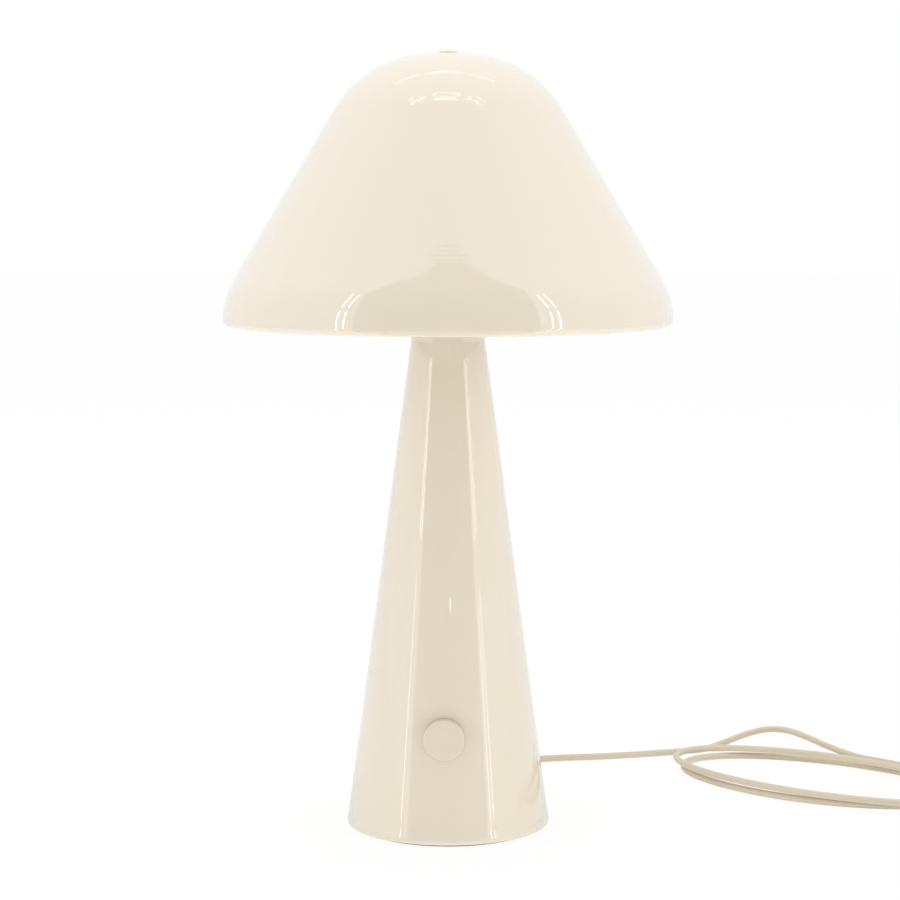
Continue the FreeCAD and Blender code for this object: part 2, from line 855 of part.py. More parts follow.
def button_guide():
    lip = button_depth - 0.1
    chamber = button_radius + guide_chamber
    back = guide_back()
    barrel = inward([
        (guide_bore(), 0), (guide_radius, 0), (guide_radius, back), (chamber, back), (chamber, lip),
        (guide_bore(), lip)])
    half_w, half_h = guide_plate_width / 2, guide_plate_height / 2
    face = button_face_y() + back
    plate = outline([(-half_w, button_z - half_h, 4.0), (half_w, button_z - half_h, 4.0),
                     (half_w, button_z + half_h, 4.0), (-half_w, button_z + half_h, 4.0)],
                    lambda a, b: V(a, face, b)).extrude(V(0, guide_plate_thick, 0))
    plate = plate.cut(rod(button_stem + slip_gap, V(0, face - cut_over, button_z),
                          V(0, face + guide_plate_thick + cut_over, button_z)))
    for x in (-guide_screw_x, guide_screw_x):
        plate = plate.cut(rod(guide_screw_hole, V(x, face - cut_over, button_z),
                              V(x, face + guide_plate_thick + cut_over, button_z)))
    return barrel.fuse(plate).common(cone_body(-wall_across() - seat_gap)).removeSplitter()


def button_spring():
    start = button_face_y() + button_skin + spring_wire / 2
    end = button_face_y() + guide_back() - spring_wire / 2
    advance = (end - start) / spring_turns

    def at(turn):
        angle = 2 * math.pi * turn
        return V(spring_radius * math.cos(angle), start + advance * turn,
                 button_z + spring_radius * math.sin(angle))

    edges, knots = winding(at, spring_turns)
    spring = swept(edges, spring_wire, *knots[0])
    report("button_spring", spring, edges, spring_wire, [spring_radius])
    return spring


def bracket_y():
    """Front face of the switch bracket, against the guide's back plate."""
    return button_face_y() + guide_back() + guide_plate_thick


def bracket_screw_y():
    return bracket_y() + bracket_foot_length * 0.6


def switch_bracket():
    y, t, foot_z = bracket_y(), bracket_thick, weight_top()
    half_w, half_s, half_h = guide_plate_width / 2, bracket_stem_width / 2, guide_plate_height / 2
    profile = outline([(y, foot_z, bracket_bend), (y + bracket_foot_length, foot_z),
                       (y + bracket_foot_length, foot_z + t), (y + t, foot_z + t, bracket_bend - t),
                       (y + t, button_z + half_h), (y, button_z + half_h)],
                      lambda a, b: V(-half_w, a, b)).extrude(V(2 * half_w, 0, 0))
    low = button_z - half_h
    front = outline([(-half_s, foot_z), (half_s, foot_z), (half_s, low - 4.0, 3.0), (half_w, low + 4.0, 3.0),
                     (half_w, button_z + half_h, 4.0), (-half_w, button_z + half_h, 4.0),
                     (-half_w, low + 4.0, 3.0), (-half_s, low - 4.0, 3.0)],
                    lambda a, b: V(a, y - cut_over, b))
    plate = profile.common(front.extrude(V(0, bracket_foot_length + 2 * cut_over, 0)))
    plate = plate.cut(rod(button_stem + 0.6, V(0, y - cut_over, button_z), V(0, y + t + cut_over, button_z)))
    for x in (-guide_screw_x, guide_screw_x):
        plate = plate.cut(rod(guide_screw_hole, V(x, y - cut_over, button_z),
                              V(x, y + t + cut_over, button_z)))
    for x in (-bracket_screw_x, bracket_screw_x):
        plate = plate.cut(rod(bracket_screw_hole, V(x, bracket_screw_y(), foot_z - cut_over),
                              V(x, bracket_screw_y(), foot_z + t + cut_over)))
    return plate


def switch_y():
    return bracket_y() + bracket_thick


def switch_body():
    y, half_w, half_h = switch_y(), switch_width / 2, switch_height / 2
    body = outline([(-half_w, button_z - half_h, 1.5), (half_w, button_z - half_h, 1.5),
                    (half_w, button_z + half_h, 1.5), (-half_w, button_z + half_h, 1.5)],
                   lambda a, b: V(a, y, b)).extrude(V(0, switch_depth, 0))
    bore_end = y + plunger_length + button_travel + 0.5
    return body.cut(rod(plunger_radius + slip_gap, V(0, y - cut_over, button_z), V(0, bore_end, button_z)))


def switch_plunger():
    start = button_face_y() + stem_end()
    return rod(plunger_radius, V(0, start, button_z), V(0, start + plunger_length, button_z))


def switch_tabs():
    back = switch_y() + switch_depth
    tabs = []
    for x in (-tab_x, tab_x):
        tab = block(V(x - tab_width / 2, back, button_z - tab_thick / 2),
                    V(x + tab_width / 2, back + tab_length, button_z + tab_thick / 2))
        tabs.append(tab)
    return Part.makeCompound(tabs)


def guide_screws():
    screw = pan_screw(guide_screw_d, guide_screw_length)
    return Part.makeCompound([along(screw, V(x, switch_y(), button_z), Y_AXIS)
                              for x in (-guide_screw_x, guide_screw_x)])


def bracket_screws():
    screw = pan_screw(bracket_screw_d, bracket_screw_length)
    return Part.makeCompound([along(screw, V(x, bracket_screw_y(), weight_top() + bracket_thick), Z_AXIS)
                              for x in (-bracket_screw_x, bracket_screw_x)])


# Cord inside the base

def gland_face():
    """Level distance of the wall's outside at the cord's height."""
    return cone_radius(cord_exit_z)


def cord_exit():
    return V(0, gland_face() + gland_collar_thick + gland_tail_length, cord_exit_z)


def ringed_taper(start, thick, thin, length):
    """Corners of a tapered tail with ring grooves, going outwards."""
    corners, step = [(thick, start)], length / (2 * groove_count + 1)
    for k in range(groove_count):
        low, high = start + (2 * k + 1) * step, start + (2 * k + 2) * step
        at_low = thick + (thin - thick) * (low - start) / length
        at_high = thick + (thin - thick) * (high - start) / length
        corners += [(at_low, low), (at_low - groove_depth, low + 0.3), (at_high - groove_depth, high - 0.3),
                    (at_high, high)]
    return corners + [(thin, start + length, 0.3)]


def cord_gland():
    bore = cord_d / 2 + thread_gap
    face, inner = gland_face(), gland_face() - wall_across()
    collar_end = face + gland_collar_thick
    body = along(turned(
        [(bore, inner - gland_inner_length), (gland_collar - 0.6, inner - gland_inner_length, 0.6),
         (gland_collar - 0.6, face - wall_across() / 2), (gland_collar, face - wall_across() / 2),
         (gland_collar, collar_end, 0.8)]
        + ringed_taper(collar_end, gland_tail_thick, gland_tail_thin, gland_tail_length)
        + [(bore, collar_end + gland_tail_length)]), V(0, 0, cord_exit_z), Y_AXIS)
    wall = cone_body(seat_gap).cut(cone_body(-wall_across() - seat_gap))
    through = rod(gland_barrel, V(0, 0, cord_exit_z), V(0, face + 20.0, cord_exit_z))
    return body.cut(wall.cut(through))


def inner_cord():
    return rod(cord_d / 2, V(0, block_y + block_length, cord_exit_z), cord_exit())


def clamp_middle():
    return clamp_y + clamp_length / 2


def clamp_top():
    return cord_exit_z + cord_d / 2 + clamp_bridge_thick


def clamp_half(low, high):
    """One half of the cord clamp, between two heights, with the cord's groove and screw holes."""
    half = block(V(-clamp_half_width, clamp_y, low), V(clamp_half_width, clamp_y + clamp_length, high))
    start, end = V(0, clamp_y - cut_over, cord_exit_z), V(0, clamp_y + clamp_length + cut_over, cord_exit_z)
    half = half.cut(rod(cord_d / 2 + seat_gap, start, end))
    for x in (-clamp_screw_x, clamp_screw_x):
        half = half.cut(rod(clamp_screw_hole, V(x, clamp_middle(), low - cut_over),
                            V(x, clamp_middle(), high + cut_over)))
    return half


def clamp_base():
    return clamp_half(weight_top(), cord_exit_z - 0.4)


def clamp_bridge():
    return clamp_half(cord_exit_z + 0.4, clamp_top())


def clamp_screws():
    screw = pan_screw(clamp_screw_d, clamp_screw_length)
    return Part.makeCompound([along(screw, V(x, clamp_middle(), clamp_top()), Z_AXIS)
                              for x in (-clamp_screw_x, clamp_screw_x)])


def terminal_block():
    low, high = weight_top(), weight_top() + block_height
    body = outline([(-block_half_width, low), (block_half_width, low), (block_half_width, high, 2.5),
                    (-block_half_width, high, 2.5)],
                   lambda a, b: V(a, block_y, b)).extrude(V(0, block_length, 0))
    for x in (-5.5, 5.5):
        for y in (block_y + 3.0, block_y + block_length - 3.0):
            body = body.cut(rod(block_bore, V(x, y, high - 3.5), V(x, y, high + cut_over)))
    return body


def terminal_screws():
    high = weight_top() + block_height
    screws = []
    for x in (-5.5, 5.5):
        for y in (block_y + 3.0, block_y + block_length - 3.0):
            screw = rod(block_bore - slip_gap, V(x, y, high - 3.5), V(x, y, high - 1.5))
            slot = block(V(x - 3.0, y - 0.3, high - 2.2), V(x + 3.0, y + 0.3, high))
            screws.append(screw.cut(slot))
    return Part.makeCompound(screws)


def inner_lead():
    """Two-core lead from the block up to the slot in the tube and on to the lampholder."""
    start = V(0, block_y + block_length / 2, weight_top() + block_height)
    points = [start, start + V(0, 0, 20.0), V(0, 0, lead_slot_high - 10.0),
              V(0, 0, holder_seam() - insert_thick)]
    return hose("inner_lead", points, inner_lead_d)


def switch_wires():
    end_y = switch_y() + switch_depth + tab_length
    wires = []
    for side in (-1, 1):
        points = [V(5.5, block_y, 25.0), V(5.5, block_y - 6.0, 25.0), V(9.0, 4.0, 32.0),
                  V(10.0, -1.0, 45.0), V(8.5, -6.0, 58.0), V(6.0, -11.0, button_z - 3.5),
                  V(tab_x, end_y + 3.4, button_z), V(tab_x, end_y, button_z)]
        points = [V(side * p.x, p.y, p.z) for p in points]
        wires.append(hose("switch_wire", points, switch_wire_d))
    return Part.makeCompound(wires)


# Free cord, coil and plug

def coil_at(turn):
    """A point on the coil's middle line, a number of turns from its start."""
    inside = coil_pitch * min(turn, coil_top_end)
    inside -= coil_pitch * max(0.0, turn - coil_low_start)
    fan = coil_fan * math.cos(math.pi * turn / coil_turns)
    angle = coil_start - 2 * math.pi * turn
    long = (coil_half_long - inside + fan) * math.cos(angle)
    wide = (coil_half_wide - inside - fan) * math.sin(angle)
    drop = min(1.0, max(0.0, (turn - coil_top_end) / (coil_low_start - coil_top_end)))
    z = cord_d / 2 + coil_layer * (1 + math.cos(math.pi * drop)) / 2
    turned_x = long * math.cos(coil_tilt) - wide * math.sin(coil_tilt)
    turned_y = long * math.sin(coil_tilt) + wide * math.cos(coil_tilt)
    return coil_centre + V(turned_x, turned_y, z)


def coil_path():
    """Arcs of the coil, with a straight end of one diameter at each side."""
    edges, knots = winding(coil_at, coil_turns)
    (first, first_way), (last, last_way) = knots[0], knots[-1]
    start, end = first - first_way * cord_d, last + last_way * cord_d
    return [edge(start, first)] + edges + [edge(last, end)], start, first_way, end, last_way


def least_gap(edges, diameter):
    """Least gap between stretches of the cord that lie well apart along it."""
    apart = 30 * diameter
    points, lengths, gone = [], [], 0.0
    for e in edges:
        for p in e.discretize(Number=40):
            points.append(p)
        for k in range(40):
            lengths.append(gone + e.Length * k / 39)
        gone += e.Length
    return min((points[i] - points[j]).Length for i in range(0, len(points), 2)
               for j in range(i + 1, len(points), 2) if lengths[j] - lengths[i] > apart) - diameter


def cord_coil():
    edges, start, way, _, _ = coil_path()
    coil = swept(edges, cord_d, start, way)
    report("cord_coil", coil, edges, cord_d, [e.Curve.Radius for e in edges[1:-1]])
    print(f"cord_coil: least gap to itself {least_gap(edges, cord_d):.2f}")
    lead, _ = route_edges(lead_route())
    print(f"cord_lead and cord_coil: least gap {least_gap(lead + edges, cord_d):.2f}")
    return coil


def lead_route():
    _, start, way, _, _ = coil_path()
    exit_at = cord_exit()
    points = [exit_at, exit_at + Y_AXIS * lead_square] + lead_points + [start - way * lead_join, start]
    return points


def cord_lead():
    return hose("cord_lead", lead_route(), cord_d)


def plug_way():
    return V(math.cos(plug_turn), math.sin(plug_turn), 0)


def tail_end():
    return V(plug_at[0], plug_at[1], plug_thick / 2)


def cord_tail():
    _, _, _, end, way = coil_path()
    points = [end, end + way * tail_square, tail_point, tail_end() - plug_way() * tail_join, tail_end()]
    return hose("cord_tail", points, cord_d)


def plug_relief():
    relief = turned([(0, 0)] + [(relief_thick, 0.0)]
                    + ringed_taper(0.0, relief_thick, relief_thin, relief_length)[1:]
                    + [(0, relief_length)])
    return along(relief, tail_end() + plug_way() * relief_length, plug_way() * -1)


def plug_frame(shape):
    """A plug piece made pointing along +Y from its back end, moved to the end of the tail."""
    placed = shape.copy()
    back = tail_end() + plug_way() * relief_length
    moved = FreeCAD.Placement(back, FreeCAD.Rotation(Y_AXIS, plug_way()))
    placed.Placement = moved.multiply(shape.Placement)
    return placed


def plug_blank():
    half_w, half_t, tail = plug_width / 2, plug_thick / 2, plug_tail_width / 2
    across = outline([(-half_w, 0.0, 2.0), (-half_w + plug_corner, -half_t, 4.0),
                      (half_w - plug_corner, -half_t, 4.0), (half_w, 0.0, 2.0),
                      (half_w - plug_corner, half_t, 4.0), (-half_w + plug_corner, half_t, 4.0)])
    bar = across.extrude(V(0, plug_length, 0))
    shoulder = plug_length - plug_shoulder
    plan = outline([(-tail, 0.0, 2.5), (tail, 0.0, 2.5), (tail + 1.5, 8.0, 8.0), (half_w, shoulder, 8.0),
                    (half_w, plug_length, 1.2), (-half_w, plug_length, 1.2), (-half_w, shoulder, 8.0),
                    (-tail - 1.5, 8.0, 8.0)], lambda a, b: V(a, b, -half_t - cut_over))
    return bar.common(plan.extrude(V(0, 0, plug_thick + 2 * cut_over)))


def plug_body():
    body = plug_blank()
    for x in (-pin_spacing / 2, pin_spacing / 2):
        body = body.cut(rod(pin_radius + seat_gap, V(x, plug_length - pin_root, 0),
                            V(x, plug_length + cut_over, 0)))
    return plug_frame(body)


def plug_pins():
    pins = []
    for x in (-pin_spacing / 2, pin_spacing / 2):
        pin = turned([(0, -pin_root), (pin_radius, -pin_root), (pin_radius, pin_length, 1.4), (0, pin_length)])
        pins.append(plug_frame(along(pin, V(x, plug_length, 0), Y_AXIS)))
    return Part.makeCompound(pins)


NODES = {
    "base_shell": base_shell, "base_plate": base_plate, "foot_pad": foot_pad,
    "counterweight": counterweight, "lamp_tube": lamp_tube, "plate_nut": plate_nut,
    "weight_washer": weight_washer, "weight_nut": weight_nut, "neck_cap": neck_cap,
    "harp_saddle": harp_saddle, "lock_washer": lock_washer, "neck_nut": neck_nut, "harp": harp,
    "shade_seat": shade_seat, "seat_nut": seat_nut, "seat_washer": seat_washer, "shade": shade,
    "cap_screw": cap_screw, "holder_cap": holder_cap, "holder_insert": holder_insert,
    "holder_shell": holder_shell, "holder_contact": holder_contact, "holder_sleeve": holder_sleeve,
    "bulb_cap": bulb_cap, "bulb_contact": bulb_contact, "bulb_glass": bulb_glass,
    "button_cap": button_cap, "button_guide": button_guide, "button_spring": button_spring,
    "switch_bracket": switch_bracket, "switch_body": switch_body, "switch_plunger": switch_plunger,
    "switch_tabs": switch_tabs, "guide_screws": guide_screws, "bracket_screws": bracket_screws,
    "cord_gland": cord_gland, "inner_cord": inner_cord, "clamp_base": clamp_base,
    "clamp_bridge": clamp_bridge, "clamp_screws": clamp_screws, "terminal_block": terminal_block,
    "terminal_screws": terminal_screws, "inner_lead": inner_lead, "switch_wires": switch_wires,
    "cord_lead": cord_lead, "cord_coil": cord_coil, "cord_tail": cord_tail,
    "plug_relief": plug_relief, "plug_body": plug_body, "plug_pins": plug_pins,
}


def main():
    os.makedirs("parts", exist_ok=True)
    for name, make in NODES.items():
        shape = make()
        print(name, "valid" if shape.isValid() else "NOT VALID", len(shape.Solids), "solids",
              f"{shape.Volume:.1f}")
        shape.exportStep(f"parts/{name}.step")


main()
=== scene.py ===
"""Mushroom table lamp, dressed: cream enamel on spun and rolled steel, a moulded push button,
a soft cord in a loose coil, and the fittings inside. The scene is in metres and the pieces' own
sizes are in millimetres; the button faces -Y."""

import math

import bmesh
import bpy
from mathutils import Matrix, Vector


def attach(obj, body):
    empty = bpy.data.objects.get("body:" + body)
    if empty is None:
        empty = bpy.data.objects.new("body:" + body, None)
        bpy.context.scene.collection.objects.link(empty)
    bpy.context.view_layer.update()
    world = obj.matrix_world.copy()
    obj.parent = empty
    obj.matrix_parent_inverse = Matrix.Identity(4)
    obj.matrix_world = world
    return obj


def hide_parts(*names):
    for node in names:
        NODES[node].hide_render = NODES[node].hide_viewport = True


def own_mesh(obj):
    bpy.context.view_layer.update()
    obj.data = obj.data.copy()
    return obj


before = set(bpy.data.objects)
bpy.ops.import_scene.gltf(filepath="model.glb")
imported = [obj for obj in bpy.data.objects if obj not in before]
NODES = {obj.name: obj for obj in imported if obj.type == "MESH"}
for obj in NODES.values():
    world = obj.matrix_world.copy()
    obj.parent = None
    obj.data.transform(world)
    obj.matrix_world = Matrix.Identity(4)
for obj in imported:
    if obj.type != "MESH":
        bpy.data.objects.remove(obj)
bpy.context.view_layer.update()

MM = 0.001


# Camera

LENS, SHIFT_X = 103.25, 0.0021
CAMERA_AT, CAMERA_TILT, CAMERA_TURN = (0.0753, -1.7243, 0.42885), 84.3, 2.5


def set_camera():
    lens = bpy.data.cameras.new("camera")
    lens.sensor_fit = "HORIZONTAL"
    lens.sensor_width = 36.0
    lens.lens = LENS
    lens.shift_x = SHIFT_X
    lens.clip_end = 60.0
    camera = bpy.data.objects.new("camera", lens)
    camera.location = CAMERA_AT
    camera.rotation_euler = (math.radians(CAMERA_TILT), 0, math.radians(CAMERA_TURN))
    bpy.context.scene.collection.objects.link(camera)
    bpy.context.scene.camera = camera


# Node helpers

def add(tree, kind, inputs=(), **settings):
    node = tree.nodes.new(kind)
    for key, value in settings.items():
        setattr(node, key, value)
    for key, value in dict(inputs).items():
        node.inputs[key].default_value = value
    return node


def link(tree, source, output, target, entry):
    tree.links.new(source.outputs[output], target.inputs[entry])


def new_group(name, inputs, outputs):
    """A shader group with (name, kind, default) inputs and (name, kind) outputs."""
    group = bpy.data.node_groups.new(name, "ShaderNodeTree")
    for title, kind, default in inputs:
        socket = group.interface.new_socket(name=title, in_out="INPUT", socket_type="NodeSocket" + kind)
        if default is not None:
            socket.default_value = default
    for title, kind in outputs:
        group.interface.new_socket(name=title, in_out="OUTPUT", socket_type="NodeSocket" + kind)
    return group, group.nodes.new("NodeGroupInput"), group.nodes.new("NodeGroupOutput")


def enamel_relief():
    """Orange peel of sprayed enamel over a slow waviness of the sheet under it."""
    group, start, end = new_group(
        "enamel_relief",
        [("Place", "Vector", None), ("Peel scale", "Float", 420.0), ("Wave scale", "Float", 28.0),
         ("Wave share", "Float", 2.0)],
        [("Height", "Float")])
    peel = add(group, "ShaderNodeTexNoise", {"Detail": 1.5, "Roughness": 0.45})
    wave = add(group, "ShaderNodeTexNoise", {"Detail": 1.0, "Roughness": 0.4})
    scaled = add(group, "ShaderNodeMath", operation="MULTIPLY")
    total = add(group, "ShaderNodeMath", operation="ADD")
    for noise, scale in ((peel, "Peel scale"), (wave, "Wave scale")):
        link(group, start, "Place", noise, "Vector")
        link(group, start, scale, noise, "Scale")
    link(group, wave, "Fac", scaled, 0)
    link(group, start, "Wave share", scaled, 1)
    link(group, peel, "Fac", total, 0)
    link(group, scaled, 0, total, 1)
    link(group, total, 0, end, "Height")
    return group


def spinning_rings():
    """Rings that the spinning tool leaves round the axis, fading in from the middle and out to the rim."""
    group, start, end = new_group(
        "spinning_rings",
        [("Place", "Vector", None), ("Rings per metre", "Float", 260.0), ("Amount", "Float", 1.0),
         ("Inner radius", "Float", 0.03), ("Outer radius", "Float", 0.12)],
        [("Height", "Float")])
    flat = add(group, "ShaderNodeVectorMath", operation="MULTIPLY")
    flat.inputs[1].default_value = (1, 1, 0)
    away = add(group, "ShaderNodeVectorMath", operation="LENGTH")
    ring = add(group, "ShaderNodeTexNoise", {"Detail": 2.0, "Roughness": 0.6}, noise_dimensions="1D")
    fade_in = add(group, "ShaderNodeMapRange", {"From Min": 0.0}, interpolation_type="SMOOTHSTEP")
    fade_out = add(group, "ShaderNodeMapRange", {"To Min": 1.0, "To Max": 0.15},
                   interpolation_type="SMOOTHSTEP")
    share = add(group, "ShaderNodeMath", operation="MULTIPLY")
    scaled = add(group, "ShaderNodeMath", operation="MULTIPLY")
    height = add(group, "ShaderNodeMath", operation="MULTIPLY")
    link(group, start, "Place", flat, 0)
    link(group, flat, 0, away, 0)
    link(group, away, "Value", ring, "W")
    link(group, start, "Rings per metre", ring, "Scale")
    link(group, away, "Value", fade_in, "Value")
    link(group, start, "Inner radius", fade_in, "From Max")
    link(group, away, "Value", fade_out, "Value")
    link(group, start, "Inner radius", fade_out, "From Min")
    link(group, start, "Outer radius", fade_out, "From Max")
    link(group, fade_in, "Result", share, 0)
    link(group, fade_out, "Result", share, 1)
    link(group, share, 0, scaled, 0)
    link(group, start, "Amount", scaled, 1)
    link(group, ring, "Fac", height, 0)
    link(group, scaled, 0, height, 1)
    link(group, height, 0, end, "Height")
    return group


# The marks' patch: its middle in x, its fade from below in steps, and its edge in shares of the room above
MARKS_MIDDLE, MARKS_FROM, MARKS_EDGE = 0.005, (-1.1, -0.7), (0.5, 1.3)


def side_marks():
    """Fine level marks on the shade's front, at even steps of height, in a patch that narrows upwards."""
    group, start, end = new_group(
        "side_marks",
        [("Place", "Vector", None), ("First height", "Float", 0.3902), ("Step", "Float", 0.0029),
         ("Last height", "Float", 0.4035), ("Amount", "Float", 1.0)],
        [("Height", "Float")])
    apart = add(group, "ShaderNodeSeparateXYZ")
    above = add(group, "ShaderNodeMath", operation="SUBTRACT")
    turns = add(group, "ShaderNodeMath", operation="DIVIDE")
    angle = add(group, "ShaderNodeMath", operation="MULTIPLY")
    angle.inputs[1].default_value = 2 * math.pi
    mark = add(group, "ShaderNodeMath", operation="SINE")
    fade_in = add(group, "ShaderNodeMapRange", {"From Min": MARKS_FROM[0], "From Max": MARKS_FROM[1]})
    centred = add(group, "ShaderNodeMath", operation="SUBTRACT")
    centred.inputs[1].default_value = MARKS_MIDDLE
    sideways = add(group, "ShaderNodeMath", operation="ABSOLUTE")
    room_above = add(group, "ShaderNodeMath", operation="SUBTRACT")
    spread = add(group, "ShaderNodeMath", operation="DIVIDE")
    fade_out = add(group, "ShaderNodeMapRange",
                   {"From Min": MARKS_EDGE[0], "From Max": MARKS_EDGE[1], "To Min": 1.0, "To Max": 0.0},
                   interpolation_type="SMOOTHSTEP")
    below = add(group, "ShaderNodeMath", operation="MULTIPLY")
    share = add(group, "ShaderNodeMath", operation="MULTIPLY")
    height = add(group, "ShaderNodeMath", operation="MULTIPLY")
    link(group, start, "Place", apart, 0)
    link(group, apart, "Z", above, 0)
    link(group, start, "First height", above, 1)
    link(group, above, 0, turns, 0)
    link(group, start, "Step", turns, 1)
    link(group, turns, 0, angle, 0)
    link(group, angle, 0, mark, 0)
    link(group, turns, 0, fade_in, "Value")
    link(group, apart, "X", centred, 0)
    link(group, centred, 0, sideways, 0)
    link(group, start, "Last height", room_above, 0)
    link(group, apart, "Z", room_above, 1)
    link(group, sideways, 0, spread, 0)
    link(group, room_above, 0, spread, 1)
    link(group, spread, 0, fade_out, "Value")
    link(group, mark, 0, below, 0)
    link(group, fade_in, "Result", below, 1)
    link(group, below, 0, share, 0)
    link(group, fade_out, "Result", share, 1)
    link(group, share, 0, height, 0)
    link(group, start, "Amount", height, 1)
    link(group, height, 0, end, "Height")
    return group


def tone_drift():
    """A colour that drifts a little over the surface, and a roughness that drifts with it."""
    group, start, end = new_group(
        "tone_drift",
        [("Place", "Vector", None), ("Colour", "Color", (0.8, 0.8, 0.8, 1)),
         ("Second colour", "Color", (0.7, 0.7, 0.7, 1)), ("Scale", "Float", 12.0),
         ("Share", "Float", 0.3), ("Roughness", "Float", 0.3), ("Roughness drift", "Float", 0.05)],
        [("Colour", "Color"), ("Roughness", "Float")])
    noise = add(group, "ShaderNodeTexNoise", {"Detail": 4.0, "Roughness": 0.55})
    share = add(group, "ShaderNodeMath", operation="MULTIPLY")
    blend = add(group, "ShaderNodeMix", data_type="RGBA")
    centred = add(group, "ShaderNodeMath", operation="SUBTRACT")
    centred.inputs[1].default_value = 0.5
    drift = add(group, "ShaderNodeMath", operation="MULTIPLY_ADD")
    link(group, start, "Place", noise, "Vector")
    link(group, start, "Scale", noise, "Scale")
    link(group, noise, "Fac", share, 0)
    link(group, start, "Share", share, 1)
    link(group, share, 0, blend, 0)
    link(group, start, "Colour", blend, 6)
    link(group, start, "Second colour", blend, 7)
    link(group, blend, 2, end, "Colour")
    link(group, noise, "Fac", centred, 0)
    link(group, centred, 0, drift, 0)
    link(group, start, "Roughness drift", drift, 1)
    link(group, start, "Roughness", drift, 2)
    link(group, drift, 0, end, "Roughness")
    return group


def moulded_grain():
    """Fine grain of a moulded or cast surface."""
    group, start, end = new_group(
        "moulded_grain",
        [("Place", "Vector", None), ("Grain scale", "Float", 2400.0), ("Detail", "Float", 2.0)],
        [("Height", "Float")])
    noise = add(group, "ShaderNodeTexNoise", {"Roughness": 0.6})
    link(group, start, "Place", noise, "Vector")
    link(group, start, "Grain scale", noise, "Scale")
    link(group, start, "Detail", noise, "Detail")
    link(group, noise, "Fac", end, "Height")
    return group


GROUPS = {}


def build_groups():
    for make in (enamel_relief, spinning_rings, side_marks, tone_drift, moulded_grain):
        GROUPS[make.__name__] = make()


def placed_group(tree, place, name, inputs):
    node = add(tree, "ShaderNodeGroup", node_tree=GROUPS[name])
    for key, value in inputs.items():
        node.inputs[key].default_value = value
    link(tree, place, "Object", node, "Place")
    return node


def new_material(name, shader_values):
    """A material with its Principled shader and object coordinates."""
    material = bpy.data.materials.new(name)
    material.use_nodes = True
    tree = material.node_tree
    shader = tree.nodes["Principled BSDF"]
    for key, value in shader_values.items():
        shader.inputs[key].default_value = value
    place = add(tree, "ShaderNodeTexCoord")
    return material, tree, shader, place


def add_tone(tree, place, shader, colour, second, scale, share, roughness, drift):
    tone = placed_group(tree, place, "tone_drift", {
        "Colour": (*colour, 1), "Second colour": (*second, 1), "Scale": scale, "Share": share,
        "Roughness": roughness, "Roughness drift": drift})
    link(tree, tone, "Colour", shader, "Base Color")
    link(tree, tone, "Roughness", shader, "Roughness")


def add_bump(tree, source, shader, distance):
    bump = add(tree, "ShaderNodeBump", {"Distance": distance, "Strength": 1.0})
    link(tree, source, "Height", bump, "Height")
    link(tree, bump, "Normal", shader, "Normal")
    return bump


# Materials

CREAM = (0.896, 0.812, 0.668)
CREAM_DEEP = (0.872, 0.782, 0.63)
METAL_GRAIN, METAL_GRAIN_DEPTH = 1600.0, 0.000012


def cream_enamel(name, peel_distance, ring_amount=0.0, mark_amount=0.0):
    """High-gloss cream enamel on sheet steel, with rings and level marks where an amount is given."""
    material, tree, shader, place = new_material(name, {
        "IOR": 1.5, "Coat Weight": 1.0, "Coat Roughness": 0.015, "Coat IOR": 1.5})
    add_tone(tree, place, shader, CREAM, CREAM_DEEP, scale=9.0, share=0.22, roughness=0.035, drift=0.02)
    peel = placed_group(tree, place, "enamel_relief", {"Peel scale": 420.0, "Wave share": 1.0})
    bump = add_bump(tree, peel, shader, peel_distance)
    if ring_amount > 0:
        rings = placed_group(tree, place, "spinning_rings", {"Amount": ring_amount})
        marks = placed_group(tree, place, "side_marks", {"Amount": mark_amount})
        total = add(tree, "ShaderNodeMath", operation="ADD")
        whole = add(tree, "ShaderNodeMath", operation="ADD")
        link(tree, peel, "Height", total, 0)
        link(tree, rings, "Height", total, 1)
        link(tree, total, 0, whole, 0)
        link(tree, marks, "Height", whole, 1)
        link(tree, whole, 0, bump, "Height")
    link(tree, bump, "Normal", shader, "Coat Normal")
    return material


def moulded(name, colour, second, roughness, grain=2400.0, distance=0.00001, coat=0.0):
    """Plastic, rubber, cast iron, glaze or glass with a fine grain."""
    material, tree, shader, place = new_material(name, {"IOR": 1.5, "Coat Weight": coat})
    add_tone(tree, place, shader, colour, second, scale=40.0, share=0.5, roughness=roughness, drift=0.08)
    add_bump(tree, placed_group(tree, place, "moulded_grain", {"Grain scale": grain}), shader, distance)
    return material


def metal(name, colour, second, roughness, drift, scale):
    """Bare or plated metal, patchy on a scale of its own, with a fine grain."""
    material, tree, shader, place = new_material(name, {"Metallic": 1.0})
    add_tone(tree, place, shader, colour, second, scale=scale, share=0.7, roughness=roughness, drift=drift)
    add_bump(tree, placed_group(tree, place, "moulded_grain", {"Grain scale": METAL_GRAIN}), shader,
             METAL_GRAIN_DEPTH)
    return material


